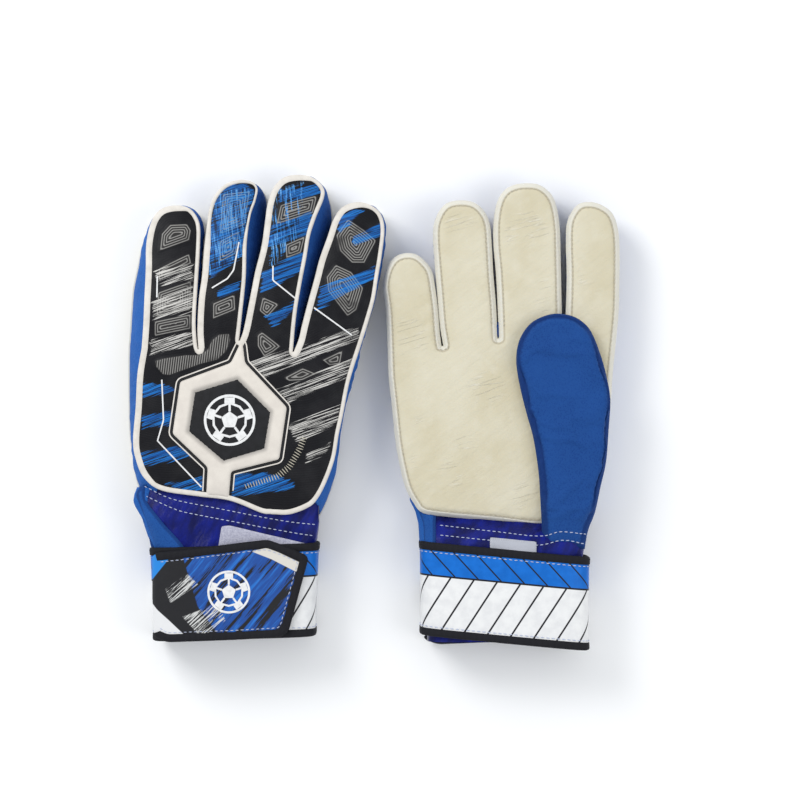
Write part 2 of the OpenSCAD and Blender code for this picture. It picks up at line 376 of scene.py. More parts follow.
def ripple(points, size, seed):
    """Gentle unevenness from a few crossed waves, always the same."""
    rng = np.random.default_rng(seed)
    total = np.zeros(len(points))
    for _ in range(7):
        a = rng.uniform(0, 2 * pi)
        wave = size * rng.uniform(0.6, 1.8)
        total += np.sin((points[:, 0] * cos(a) + points[:, 1] * sin(a)) * 2 * pi / wave
                        + rng.uniform(0, 2 * pi))
    return total / 7


# Shader building: nodes by kind, sums by name
def node(tree, kind, **settings):
    made = tree.nodes.new(kind)
    for key, value in settings.items():
        setattr(made, key, value)
    return made


def feed(tree, socket, value):
    if isinstance(value, bpy.types.NodeSocket):
        tree.links.new(value, socket)
    elif socket.type == "RGBA":
        socket.default_value = (*value, 1) if len(value) == 3 else value
    else:
        socket.default_value = value


def calc(tree, kind, *values, clamp=False):
    made = node(tree, "ShaderNodeMath", operation=kind, use_clamp=clamp)
    for socket, value in zip(made.inputs, values):
        feed(tree, socket, value)
    return made.outputs[0]


def mix(tree, share, one, two):
    made = node(tree, "ShaderNodeMix", data_type="RGBA")
    feed(tree, made.inputs[0], share)
    feed(tree, made.inputs[6], one)
    feed(tree, made.inputs[7], two)
    return made.outputs[2]


def ramp(tree, value, low, high):
    made = node(tree, "ShaderNodeMapRange", interpolation_type="SMOOTHSTEP")
    feed(tree, made.inputs[0], value)
    made.inputs[1].default_value = low
    made.inputs[2].default_value = high
    return made.outputs[0]


def own_place(tree, scale=1000.0):
    """Object coordinates, turned into millimetres."""
    place = node(tree, "ShaderNodeTexCoord")
    sized = node(tree, "ShaderNodeVectorMath", operation="SCALE")
    tree.links.new(place.outputs["Object"], sized.inputs[0])
    sized.inputs[3].default_value = scale
    return sized.outputs[0]


def noise(tree, place, size, detail=3.0, rough=0.55):
    made = node(tree, "ShaderNodeTexNoise")
    feed(tree, made.inputs["Vector"], place)
    made.inputs["Scale"].default_value = 1.0 / size
    made.inputs["Detail"].default_value = detail
    made.inputs["Roughness"].default_value = rough
    return made.outputs["Fac"]


def stretched(tree, place, scale, turn=0.0):
    """The same place turned, then scaled along its new axes."""
    made = node(tree, "ShaderNodeMapping", vector_type="TEXTURE")
    feed(tree, made.inputs["Vector"], place)
    made.inputs["Scale"].default_value = [1 / part for part in scale]
    made.inputs["Rotation"].default_value = (0, 0, turn)
    return made.outputs[0]


def field(tree, name):
    made = node(tree, "ShaderNodeAttribute", attribute_name=name)
    return made.outputs["Fac"]


def bumped(tree, height, depth, under=None):
    made = node(tree, "ShaderNodeBump")
    made.inputs["Strength"].default_value = 1.0
    made.inputs["Distance"].default_value = depth * MM
    feed(tree, made.inputs["Height"], height)
    if under is not None:
        tree.links.new(under, made.inputs["Normal"])
    return made.outputs[0]


def new_finish(name, roughness, **fixed):
    made = bpy.data.materials.new(name)
    made.use_nodes = True
    tree = made.node_tree
    shader = tree.nodes["Principled BSDF"]
    feed(tree, shader.inputs["Roughness"], roughness)
    shader.inputs["Specular IOR Level"].default_value = 0.15
    for key, value in fixed.items():
        feed(tree, shader.inputs[key.replace("_", " ")], value)
    return made, tree, shader


def foamed_latex():
    made, tree, shader = new_finish("foamed_latex", 0.72)
    place = own_place(tree)
    broad = noise(tree, place, 38, 3)
    blotch = noise(tree, place, 9, 4)
    base = mix(tree, ramp(tree, broad, 0.35, 0.7), (0.66, 0.615, 0.475), (0.60, 0.545, 0.39))
    pale = calc(tree, "MULTIPLY", ramp(tree, blotch, 0.5, 0.8), 0.35)
    base = mix(tree, pale, base, (0.72, 0.68, 0.56))
    edge = field(tree, "depth")
    # painted highlight: the rolled edge is painted lighter, as where light catches the rim
    rolled = ramp(tree, edge, 3.4, 2.4)
    base = mix(tree, rolled, base, (0.70, 0.675, 0.59))
    # painted shade: the seam groove just inside the rolled edge is painted darker
    seam_groove_shade = calc(tree, "MULTIPLY", ramp(tree, edge, 2.5, 3.2), ramp(tree, edge, 4.3, 3.4))
    base = mix(tree, calc(tree, "MULTIPLY", seam_groove_shade, 0.55), base, (0.36, 0.31, 0.22))
    cells = node(tree, "ShaderNodeTexVoronoi", feature="SMOOTH_F1")
    feed(tree, cells.inputs["Vector"], place)
    cells.inputs["Scale"].default_value = 1.1
    pores = bumped(tree, cells.outputs["Distance"], 0.10)
    soft = noise(tree, stretched(tree, place, (0.35, 1.6, 1), radians(38)), 9, 5, 0.6)
    fold = noise(tree, stretched(tree, place, (0.028, 0.30, 1), radians(17)), 1, 2, 0.4)
    fold = ramp(tree, calc(tree, "ABSOLUTE", calc(tree, "SUBTRACT", fold, 0.5)), 0.03, 0.0)
    where = ramp(tree, noise(tree, place, 30, 1), 0.54, 0.66)
    fold = calc(tree, "MULTIPLY", calc(tree, "MULTIPLY", fold, where), ramp(tree, edge, 4, 9))
    # painted highlight: the creases are painted lighter, as where light catches their ridges; the same mask
    # bumps them
    base = mix(tree, calc(tree, "MULTIPLY", fold, 0.35), base, (0.78, 0.75, 0.66))
    waves = bumped(tree, soft, 0.8, pores)
    feed(tree, shader.inputs["Normal"], bumped(tree, fold, 0.2, waves))
    feed(tree, shader.inputs["Base Color"], base)
    shader.inputs["Subsurface Weight"].default_value = 0.06
    shader.inputs["Subsurface Radius"].default_value = (0.002, 0.0015, 0.001)
    return made


LATEX = foamed_latex()


def latex_outside(points, depth):
    """Height of the palm's outer face: rolled at its edge, drawn in along its seam."""
    rolled = 4.2 * np.exp(-(depth / 1.7) ** 1.3)
    seam = 0.75 * np.exp(-((depth - SEAM_IN) / 0.7) ** 2)
    full = np.clip(depth / 16, 0, 1)
    return rolled + seam + 0.25 * full * (ripple(points, 30, 3) - 0.3)


def level(height):
    """A flat face at one height."""
    return lambda points, depth: np.full(len(points), height)


def depth_field(points, depth):
    return depth


PALM_RUNS = {side: outline_of(palm_edge[side]) for side in GLOVES}
PALM_RING = {side: whole_ring(PALM_RUNS[side]) for side in GLOVES}
PALM_CUT = {side: cut_at_knuckles(side, PALM_RUNS[side]) for side in GLOVES}


def bend_with(piece, side, finger):
    """Bakes a finger piece's placement into its mesh; the span past its knuckle is worked out but not used.
    """
    k = KNUCKLE[side, finger]
    start = to_world(side, None, [k.at - CUT_BEFORE * k.along], [0])[0]
    end = to_world(side, None, [k.at + BEND_AFTER * k.along], [0])[0]
    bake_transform(piece)


def finger_ring(part):
    line, seam = part
    return np.vstack([line, seam[::-1][1:-1]])


for side in GLOVES:
    ring, fingers, _ = PALM_CUT[side]
    piece = padded_sheet(f"{side}_latex_palm", side, None, ring, PALM_RING[side],
                         latex_outside, level(LATEX_THICK), LATEX, {"depth": depth_field})
    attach(piece, f"{side}_hand")
    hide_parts(f"{side}_palm")
    for finger in FINGERS:
        piece = padded_sheet(f"{side}_{finger}_latex", side, finger, finger_ring(fingers[finger]),
                             PALM_RING[side], latex_outside, level(LATEX_THICK), LATEX,
                             {"depth": depth_field})
        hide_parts(f"{side}_{finger}_front")
        bend_with(piece, side, finger)

# ---------------------------------------------------------------- printed back panels
# The back of the hand and of each finger is one sheet of soft printed vinyl over foam,
# with raised pads. The print is black with slanted white and blue scratches, and each
# pad is filled with fine contour lines. The other glove carries the same print.
back_edge = {"left": {
    "little": [(-134.5, 38.5), (-133.5, 53), (-133, 67), (-132.5, 84.5), (-132.5, 99), (-130.5, 110.5),
               (-127, 117.5), (-122, 121), (-115, 122), (-108.5, 120.5), (-104, 115.5), (-102, 109),
               (-102, 96.5), (-103, 75.5), (-104, 55), (-103.5, 43.5), (-102.6, 37.5)],
    "ring": [(-101.4, 37.5), (-102, 49.5), (-101.2, 67), (-99.5, 81), (-98.5, 96.5), (-97, 110.5),
             (-95.5, 121), (-92, 129), (-86.5, 134.5), (-79, 137), (-72, 136), (-68.5, 132.5),
             (-69.5, 125.5), (-72.5, 116), (-74.5, 100.5), (-75, 79), (-77, 58), (-78.8, 42.5)],
    "middle": [(-77.4, 42.5), (-75, 49.5), (-71.5, 67), (-68.5, 83), (-65, 97.5), (-63, 112.5),
               (-61.5, 123.5), (-58.5, 132), (-53, 138), (-45, 140), (-36, 138.5), (-30, 133),
               (-29.5, 127), (-34, 115.5), (-37.5, 104.5), (-39.5, 92), (-43, 73), (-45.5, 56.5),
               (-47.4, 36)],
    "index": [(-46, 36), (-43, 43.5), (-41, 52), (-37.5, 65.5), (-34, 78.5), (-31, 90.5),
              (-26.5, 103.5), (-23, 114), (-18, 121), (-9.5, 124), (-1.5, 122), (4, 117), (6, 108),
              (4.5, 93.5), (2.3, 80), (0.3, 67), (-3, 55), (-7.5, 40.5)],
    "down": [(-7.5, 40.5), (-14, 20), (-18, 0), (-20.5, -11.5), (-23, -26), (-28, -40), (-33.5, -50),
             (-39, -54.5), (-49, -58), (-58, -58)],
    "up": [(-60, -57.8), (-65.5, -57), (-83.5, -50), (-102, -47.5), (-123.5, -44), (-133.5, -36.5),
           (-138, -26), (-139.5, -15.5), (-138, 4), (-137, 23), (-134.5, 38.5)],
}}
pads = [
    [(-125, 95), (-124, 105.5), (-119, 111), (-109, 111.5), (-106.5, 107.5), (-107.5, 101.5)],
    [(-125.5, 85), (-107.5, 94), (-106, 88), (-125.5, 77)],
    [(-125.5, 71), (-106, 78), (-106, 60.5), (-126.5, 56.5)],
    [(-127.5, 54), (-106, 58.5), (-106, 49.5), (-127.5, 45)],
    [(-88.5, 129), (-72, 131), (-75, 110.5), (-90, 104.5)],
    [(-90, 101), (-78, 107.5), (-80, 93.5), (-90, 88)],
    [(-93.5, 64.5), (-80.5, 70), (-80, 60.5), (-93.5, 55)],
    [(-54.5, 122.5), (-32.5, 128.5), (-35, 117.5), (-57, 110.5)],
    [(-51.5, 99), (-39.5, 104.5), (-42, 94), (-51, 90.5)],
    [(-64.5, 68.5), (-54.5, 64), (-61.5, 56), (-66.5, 60)],
    [(-22, 104.5), (-15, 114.5), (-5.5, 108), (2, 101.5), (-5, 88), (-12.5, 88), (-19.5, 95)],
    [(-27.5, 80), (-22, 87.5), (-12.5, 83), (-5.5, 73.5), (-9.5, 60.5), (-15, 56.5), (-26.5, 71.5)],
    [(-67.5, 46), (-64.5, 48), (-53.5, 39.5), (-58, 36), (-63.5, 33), (-67.5, 39.5)],
    [(-52.5, 21), (-41, 27), (-32.5, 23.5), (-41, 19.5), (-49, 19)],
    [(-30, 31.5), (-17.5, 37.5), (-19, 29), (-25.5, 28)],
]
ribbed_pad = [(-127, 31), (-122, 32.5), (-109, 34.5), (-101.5, 34.5), (-96.5, 37.5), (-94, 43),
              (-89.5, 46.5), (-83.5, 47), (-83, 43), (-85.5, 36.5), (-90.5, 31.5), (-100.5, 29),
              (-118.5, 22.5), (-122.5, 23), (-126.5, 27.5)]
white_bands = [
    [(-127.5, 84), (-106, 87), (-105, 78.5), (-126, 75.5)],
    [(-128.5, 65.5), (-105, 75.5), (-105, 59.5), (-128.5, 55)],
    [(-129.5, 43.5), (-106, 48), (-105, 40), (-129.5, 33.5)],
    [(-72.5, 30), (-8, 51), (-8, 43.5), (-64.5, 21)],
    [(-55.5, 13.5), (-11.5, 32.5), (-14.5, 23), (-49, 6)],
    [(-50, -6.5), (-19, 6), (-20.5, -4.5), (-43.5, -17)],
    [(-38.5, -23.5), (-25, -17), (-27.5, -22.5), (-39, -28)],
]
blue_bands = [
    [(-134, 18), (-115, 15.5), (-115, 13), (-134, 9.5)],
    [(-134.5, -1), (-115.5, 2.5), (-117.5, -6.5), (-134.5, -9.5)],
    [(-136, -22.5), (-113, -18), (-105.5, -25), (-134, -30.5)],
    [(-121, -40.5), (-98.5, -37.5), (-98.5, -44), (-113, -44)],
    [(-81.5, -35), (-62.5, -34), (-46.5, -39.5), (-46.5, -43.5), (-82.5, -48)],
    [(-92, 129), (-85.5, 135), (-75, 135.5), (-70, 131.5), (-75, 93.5), (-95, 79), (-96.5, 102)],
    [(-90.5, 71.5), (-78, 78), (-78.5, 71.5), (-90, 68)],
    [(-54.5, 130.5), (-32, 135), (-31, 129.5), (-55.5, 123.5)],
    [(-59.5, 110.5), (-36, 118.5), (-37.5, 105), (-62, 98)],
    [(-64.5, 83), (-40.5, 94.5), (-42, 83), (-65.5, 70.5)],
    [(-62.5, 56.5), (-45.5, 65), (-46.5, 60), (-58, 51)],
    [(-21.5, 114), (-12.5, 120.5), (-5.5, 118.5), (-19.5, 107)],
    [(-12.5, 104.5), (5, 112), (4.5, 104.5), (-11.5, 98.5)],
    [(-31, 73), (1.5, 87), (0.5, 80), (-32.5, 61)],
]
scratched = [
    [(-59, 130.5), (-41, 136.5), (-43.5, 104.5), (-60, 83.5)],
    [(-92, 130), (-72.5, 133.5), (-75, 92.5), (-97.5, 80.5)],
]


def drawn_in(runs, amount):
    """The same outline moved inwards, still as separate runs."""
    names = list(runs)
    whole = np.vstack([runs[n] for n in names if n != "foot"])
    into = away_from_edge(whole)
    made, start = {}, 0
    for name in names:
        if name == "foot":
            continue
        line = runs[name]
        moved = line + into[start:start + len(line)] * amount
        start += len(line)
        keep = distance_to(moved, whole, True) > 0.9 * amount
        made[name] = even(moved[keep], POINT_STEP)
    made["foot"] = even(np.array([made["down"][-1], made["up"][0]]), POINT_STEP)
    return made


BACK_UNDER = 22.0
PRINT_SHIFT = {"left": np.array([0.0, 0.0]), "right": np.array([158.6, 1.0])}
BACK_RUNS = {"left": outline_of(back_edge["left"]), "right": drawn_in(PALM_RUNS["right"], 3.0)}
BACK_RING = {side: whole_ring(BACK_RUNS[side]) for side in GLOVES}
BACK_CUT = {side: cut_at_knuckles(side, BACK_RUNS[side]) for side in GLOVES}


def eased(share):
    """A share from 0 to 1 with a soft start and end."""
    return share * share * (3 - 2 * share)


def print_place(side, finger, xy):
    """Where each point of a back lies in the left glove's print."""
    xy = np.asarray(xy, float)
    if side == "left":
        return xy
    plain = xy - PRINT_SHIFT[side]
    crotches = [40.0, 72.5, 111.0]
    moved = np.empty_like(xy)
    for i, name in enumerate(FINGERS):
        mine = np.ones(len(xy), bool) if finger == name else (np.digitize(xy[:, 0], crotches) == i)
        if finger not in (None, name):
            continue
        k, m = KNUCKLE["right", name], KNUCKLE["left", name]
        rel = xy[mine] - k.at
        along = rel @ k.along * (m.reach / k.reach)
        moved[mine] = m.at + np.outer(rel @ k.across, m.across) + np.outer(along, m.along)
    share = np.clip((xy[:, 1] - 36) / 22, 0, 1)[:, None]
    return plain + (moved - plain) * eased(share)


def deepest(points, polygons):
    return np.max([in_polygon(points, p) for p in polygons], axis=0)


def raised(side, finger, xy):
    """Height of the back's printed face, pads included, above the palm's outer face."""
    depth = distance_to(xy, BACK_RING[side], True)
    at = print_place(side, finger, xy)
    pad = deepest(at, pads + [ribbed_pad])
    rise = eased(np.clip((pad + 0.5) / 1.6, 0, 1))
    edge = np.clip(depth / 1.4, 0, 1)
    slow = 0.25 * ripple(xy, 45, 11) * np.clip(depth / 12, 0, 1)
    return BACK_UNDER + 0.6 + 1.9 * edge + 2.3 * (1 - np.exp(-depth / 6)) + 0.8 * rise + slow


def printed_vinyl():
    made, tree, shader = new_finish("printed_vinyl", 0.5)
    place = node(tree, "ShaderNodeAttribute", attribute_name="print_at").outputs["Vector"]
    slant = stretched(tree, place, (0.022, 0.62, 1), radians(20))
    fine = stretched(tree, place, (0.028, 1.6, 1), radians(20))
    steep = stretched(tree, place, (0.9, 0.045, 1), radians(6))
    streak = noise(tree, fine, 1.0, 3, 0.7)
    broad_streak = noise(tree, slant, 1.0, 3, 0.7)
    upright = noise(tree, steep, 1.0, 3, 0.7)
    frayed = calc(tree, "MULTIPLY", calc(tree, "SUBTRACT", broad_streak, 0.5), 9.0)

    def zone(name):
        return ramp(tree, calc(tree, "ADD", field(tree, name), frayed), -0.35, 0.35)
    white, blue, scratch = zone("white_band"), zone("blue_band"), zone("scratch")
    pad = ramp(tree, field(tree, "pad"), -0.2, 0.35)
    wave = calc(tree, "FRACT", calc(tree, "MULTIPLY", field(tree, "pad"), 0.72))
    line = ramp(tree, calc(tree, "ABSOLUTE", calc(tree, "SUBTRACT", wave, 0.5)), 0.24, 0.16)
    apart = node(tree, "ShaderNodeSeparateXYZ")
    tree.links.new(place, apart.inputs[0])
    rib = calc(tree, "FRACT", calc(tree, "MULTIPLY", calc(tree, "SUBTRACT", apart.outputs[0],
               calc(tree, "MULTIPLY", apart.outputs[1], 0.12)), 0.74))
    rib = ramp(tree, calc(tree, "ABSOLUTE", calc(tree, "SUBTRACT", rib, 0.5)), 0.24, 0.16)
    hatch = ramp(tree, field(tree, "hatch"), 0.1, 0.6)
    line = calc(tree, "ADD", calc(tree, "MULTIPLY", rib, hatch),
                calc(tree, "MULTIPLY", line, calc(tree, "SUBTRACT", 1.0, hatch)))
    patchy = noise(tree, place, 14, 2)
    line = calc(tree, "MULTIPLY", line, ramp(tree, patchy, 0.2, 0.5))
    black = mix(tree, ramp(tree, patchy, 0.35, 0.75), (0.006, 0.006, 0.008), (0.014, 0.014, 0.016))
    base = mix(tree, calc(tree, "MULTIPLY", pad, 0.8), black, (0.035, 0.033, 0.032))
    tone = mix(tree, ramp(tree, broad_streak, 0.35, 0.65), (0.006, 0.06, 0.25), (0.014, 0.18, 0.56))
    blue_lines = calc(tree, "MULTIPLY", blue, ramp(tree, streak, 0.44, 0.49))
    base = mix(tree, blue_lines, base, tone)
    bright = mix(tree, ramp(tree, streak, 0.4, 0.7), (0.015, 0.19, 0.55), (0.22, 0.46, 0.72))
    base = mix(tree, calc(tree, "MULTIPLY", scratch, ramp(tree, upright, 0.53, 0.58)), base, bright)
    gap = calc(tree, "MULTIPLY", scratch, ramp(tree, upright, 0.44, 0.40))
    base = mix(tree, calc(tree, "MULTIPLY", gap, 0.8), base, (0.012, 0.012, 0.014))
    pad_line = mix(tree, blue_lines, (0.34, 0.33, 0.31), (0.10, 0.28, 0.52))
    base = mix(tree, calc(tree, "MULTIPLY", calc(tree, "MULTIPLY", line, pad), 0.75), base, pad_line)
    chalk = calc(tree, "MULTIPLY", white, ramp(tree, streak, 0.505, 0.545))
    base = mix(tree, calc(tree, "MULTIPLY", chalk, 0.9), base, (0.68, 0.66, 0.62))
    feed(tree, shader.inputs["Base Color"], base)
    grain = node(tree, "ShaderNodeTexVoronoi")
    feed(tree, grain.inputs["Vector"], place)
    grain.inputs["Scale"].default_value = 1.4
    skin = bumped(tree, grain.outputs["Distance"], 0.05)
    feed(tree, shader.inputs["Normal"], bumped(tree, line, 0.12, skin))
    worn = noise(tree, place, 6, 4)
    feed(tree, shader.inputs["Roughness"], calc(tree, "ADD", calc(tree, "MULTIPLY", worn, 0.22), 0.34))
    return made


PRINT = printed_vinyl()


def print_fields(side, finger):
    def of(polygons):
        return lambda xy, depth: deepest(print_place(side, finger, xy), polygons)

    def place(xy, depth):
        at = print_place(side, finger, xy)
        return np.column_stack([at, np.zeros(len(at))])
    return {"print_at": place, "pad": of(pads + [ribbed_pad]), "hatch": of([ribbed_pad]),
            "white_band": of(white_bands), "blue_band": of(blue_bands), "scratch": of(scratched)}


for side in GLOVES:
    ring, fingers, _ = BACK_CUT[side]
    rings = {None: ring} | {f: finger_ring(fingers[f]) for f in FINGERS}
    for finger, ring in rings.items():
        name = f"{side}_printed_back" if finger is None else f"{side}_{finger}_printed_back"
        piece = padded_sheet(name, side, finger, ring, BACK_RING[side],
                             lambda xy, depth: raised(side, finger, xy),
                             level(BACK_UNDER), PRINT,
                             print_fields(side, finger), pitch=1.15, rows=(0.5, 1.1, 1.8, 2.6, 3.4))
        if finger is None:
            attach(piece, f"{side}_hand")
            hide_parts(f"{side}_back_panel")
        else:
            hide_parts(f"{side}_{finger}_back")
            bend_with(piece, side, finger)

# ---------------------------------------------------------------- cream piping
# A folded strip of cream vinyl binds the edge of the back panel all the way round. It is
# broad on the little finger's side and over the tips, and narrow on the index side. At
# the bottom of each gap between fingers it turns in a round end.


def cream_vinyl():
    made, tree, shader = new_finish("cream_vinyl", 0.5)
    place = own_place(tree)
    uneven = ramp(tree, noise(tree, place, 5, 4), 0.3, 0.75)
    base = mix(tree, uneven, (0.74, 0.70, 0.64), (0.64, 0.60, 0.54))
    speck = ramp(tree, noise(tree, place, 0.8, 2), 0.62, 0.75)
    base = mix(tree, calc(tree, "MULTIPLY", speck, 0.3), base, (0.45, 0.42, 0.38))
    feed(tree, shader.inputs["Base Color"], base)
    feed(tree, shader.inputs["Normal"], bumped(tree, noise(tree, place, 1.6, 3), 0.16))
    return made


CREAM = cream_vinyl()
PIPING_H = 24.0
PIPING_HALF = 1.75


def fanned(line, into):
    """Adds turning steps where the way in swings round quickly."""
    points, ways = [line[0]], [into[0]]
    for p, q, a, b in zip(line, line[1:], into, into[1:]):
        angle = np.arctan2(a[0] * b[1] - a[1] * b[0], a @ b)
        steps = max(1, int(abs(angle) / 0.35))
        for i in range(1, steps + 1):
            t = i / steps
            turn = angle * t
            points.append(p + (q - p) * t)
            ways.append(np.array([a[0] * cos(turn) - a[1] * sin(turn),
                                  a[0] * sin(turn) + a[1] * cos(turn)]))
    return np.array(points), np.array(ways)


def segment_normals(line, ring):
    """The way into the sheet along part of its outline."""
    ahead = np.gradient(line, axis=0)
    ahead /= np.maximum(np.linalg.norm(ahead, axis=1), 1e-9)[:, None]
    way = np.column_stack([-ahead[:, 1], ahead[:, 0]])
    middle = line[len(line) // 2] + way[len(line) // 2] * 0.6
    return way if inside(middle[None], ring)[0] else -way


def swept(runs, section, name, material, sharp=60, **same):
    """One closed piece from runs. section(run) gives rings in metres, same its even fields."""
    points, faces, base = [], [], 0
    for run in runs:
        rings = section(run)
        n, m = rings.shape[:2]
        points.append(rings.reshape(-1, 3))
        for i in range(n - 1):
            for j in range(m):
                k = (j + 1) % m
                a, b = base + i * m, base + (i + 1) * m
                faces.append((a + j, a + k, b + k, b + j))
        faces.append(tuple(base + j for j in reversed(range(m))))
        faces.append(tuple(base + (n - 1) * m + j for j in range(m)))
        base += n * m
    fields = {field_name: np.full(base, value) for field_name, value in same.items()}
    return mesh_piece(name, np.vstack(points), faces, material, sharp, fields)


def piping_section(side, finger):
    def of(run):
        line, into = run
        out = -into
        lean = np.clip((out @ np.array([-0.9, 0.43]) + 0.2) / 0.8, 0, 1)
        width = 2.0 + 2.0 * eased(lean) if side == "left" else np.full(len(line), 3.0)
        width = np.maximum(width, 1.7 + 1.3 * np.clip(-out[:, 1], 0, 1))
        if (side, finger) == ("left", "ring"):
            width = width * (1 - 0.5 * np.clip((line[:, 1] - 98) / 14, 0, 1))
        rings = []
        for angle in np.linspace(0, 2 * pi, 12, endpoint=False):
            sx = np.sign(cos(angle)) * abs(cos(angle)) ** 0.7
            sy = np.sign(sin(angle)) * abs(sin(angle)) ** 0.7
            xy = line + into * (width * 0.5 - 0.3 + (width * 0.5 + 0.2) * sx)[:, None]
            rings.append(to_world(side, finger, xy, np.full(len(xy), PIPING_H + PIPING_HALF * sy)))
        return np.stack(rings, axis=1)
    return of


def hand_runs(cut_parts, runs):
    """The hand's share of an outline: round the wrist, and round each gap between fingers."""
    sides = cut_parts[2]
    around = np.vstack([sides["index"][1], runs["down"][1:], runs["foot"][1:-1], runs["up"],
                        sides["little"][0][1:]])
    gaps = [np.vstack([sides[a][1], sides[b][0]]) for a, b in zip(FINGERS, FINGERS[1:])]
    cleaned = []
    for line in [around] + gaps:
        keep = np.concatenate([[True], np.linalg.norm(np.diff(line, axis=0), axis=1) > LEAST_STEP])
        cleaned.append(line[keep])
    return cleaned


for side in GLOVES:
    whole = BACK_RING[side]
    lines = hand_runs(BACK_CUT[side], BACK_RUNS[side])
    runs = [fanned(line, segment_normals(line, whole)) for line in lines]
    piece = swept(runs, piping_section(side, None), f"{side}_piping", CREAM)
    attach(piece, f"{side}_hand")
    for finger in FINGERS:
        line = BACK_CUT[side][1][finger][0]
        piece = swept([(line, segment_normals(line, whole))], piping_section(side, finger),
                      f"{side}_{finger}_piping", CREAM)
        bend_with(piece, side, finger)

# ---------------------------------------------------------------- jersey side walls
# A strip of blue knitted jersey joins the palm to the back all the way round, between
# the fingers too. It belongs to the stretch of the glove, so it bulges a little and has
# shallow creases. It is cut with the fingers at each knuckle.


def knitted_jersey():
    made, tree, shader = new_finish("knitted_jersey", 0.8)
    place = own_place(tree)
    broad = noise(tree, place, 22, 3)
    base = mix(tree, ramp(tree, broad, 0.3, 0.7), (0.008, 0.066, 0.29), (0.012, 0.088, 0.36))
    loops = node(tree, "ShaderNodeTexVoronoi", distance="MANHATTAN")
    feed(tree, loops.inputs["Vector"], stretched(tree, place, (1.25, 0.85, 1.0)))
    loops.inputs["Scale"].default_value = 1.0
    fuzz = noise(tree, place, 0.6, 3)
    light = calc(tree, "MULTIPLY", calc(tree, "ADD", loops.outputs["Distance"], fuzz), 0.5)
    # painted highlight: the raised knit loop tops, mixed with fuzz noise, are painted lighter on the same
    # mask as the knit bump
    tops = calc(tree, "MULTIPLY", ramp(tree, light, 0.38, 0.62), 0.55)
    base = mix(tree, tops, base, (0.024, 0.13, 0.43))
    # painted shade: the shade field darkens the jersey where it lies in shade, between the fingers, on the
    # thumbs and on the fold
    painted_shade = field(tree, "shade")
    base = mix(tree, painted_shade, base, (0.004, 0.016, 0.10))
    feed(tree, shader.inputs["Base Color"], base)
    shader.inputs["Sheen Weight"].default_value = 0.12
    shader.inputs["Sheen Tint"].default_value = (0.25, 0.5, 1.0, 1)
    knit = bumped(tree, light, 0.30)
    soft = noise(tree, stretched(tree, place, (1, 0.4, 1)), 7, 4)
    feed(tree, shader.inputs["Normal"], bumped(tree, soft, 0.6, knit))
    return made


JERSEY = knitted_jersey()
JERSEY_THICK = 1.7
WALL_TOP = 23.6
WALL_TALL = 19.8


def wall_piece(name, side, finger, pairs, shade):
    """Walls from pairs of lines: the back's edge above, the palm's edge below."""
    def section(pair):
        upper, lower = pair
        count = max(len(upper), len(lower))
        a, b = even(upper, count=count), even(lower, count=count)
        out_a = -segment_normals(a, BACK_RING[side])
        out_b = -segment_normals(b, PALM_RING[side])
        skins = []
        for depth in (0.0, JERSEY_THICK):
            rows = []
            for t in np.linspace(0, 1, 10):
                out = out_a + (out_b - out_a) * t
                out /= np.maximum(np.linalg.norm(out, axis=1), 0.3)[:, None]
                line = a + (b - a) * t
                bulge = 1.5 * sin(pi * t) * (1 + 0.45 * ripple(line, 9, 5)) - 0.5 - depth
                xy = line + out * bulge[:, None]
                rows.append(to_world(side, finger, xy, np.full(count, WALL_TOP - WALL_TALL * t)))
            skins.append(np.array(rows))
        outer, inner = skins
        return np.concatenate([outer, inner[::-1]], axis=0).transpose(1, 0, 2)
    return swept(pairs, section, name, JERSEY, 50, shade=shade)


for side in GLOVES:
    upper = hand_runs(BACK_CUT[side], BACK_RUNS[side])
    lower = hand_runs(PALM_CUT[side], PALM_RUNS[side])
    up_sides, low_sides = BACK_CUT[side][2], PALM_CUT[side][2]
    down, up = BACK_RUNS[side]["down"], BACK_RUNS[side]["up"]
    if side == "left":
        down, up = down[down[:, 1] > -51], up[up[:, 0] < -126]
    right_wall = (np.vstack([up_sides["index"][1], down[1:]]),
                  np.vstack([low_sides["index"][1], PALM_RUNS[side]["down"][1:]]))
    left_wall = (np.vstack([up, up_sides["little"][0][1:]]),
                 np.vstack([PALM_RUNS[side]["up"], low_sides["little"][0][1:]]))
    piece = wall_piece(f"{side}_side_walls", side, None, [right_wall, left_wall], 0.0)
    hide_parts(f"{side}_side_gussets")
    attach(piece, f"{side}_hand")
    # painted shade: the walls in the gaps between fingers are painted darker
    piece = wall_piece(f"{side}_finger_gap_walls", side, None, list(zip(upper[1:], lower[1:])), 0.5)
    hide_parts(f"{side}_fourchettes")
    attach(piece, f"{side}_hand")
    for finger in FINGERS:
        pair = (BACK_CUT[side][1][finger][0], PALM_CUT[side][1][finger][0])
        # painted shade: every finger wall but the little finger's is painted darker, facing its neighbour
        inner = 0.0 if finger == "little" else 0.35
        piece = wall_piece(f"{side}_{finger}_wall", side, finger, [pair], inner)
        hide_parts(f"{side}_{finger}_gusset")
        bend_with(piece, side, finger)

# ---------------------------------------------------------------- thumbs
# The thumb is a flat mitten of its own, latex in front and blue jersey behind, sewn to
# the index side of the wrist. It is folded over the palm, so its jersey shows. The
# jersey is turned in round the edge, with a seam beside it. Its colour carries painted
# shade all over, darker still in a band round the edge.
THUMB_JOIN = -3.5
THUMB_ROOT = 14
THUMB_TURNS = (12, 46)
thumb_edge = [(99, -79), (98.5, -67), (97.5, -48), (96.5, -33.5), (93.5, -14), (89.5, 0.5), (85.5, 17),
              (83.5, 31.5), (85.5, 43.5), (92, 53), (101.5, 57.8), (110.5, 58.5), (120, 55.5),
              (127.5, 47.5), (133, 34), (136.5, 21), (138.5, 8), (137.5, -9.5), (136, -28),
              (132.8, -42.5), (129.5, -57.5), (125.5, -68), (123.5, -79)]


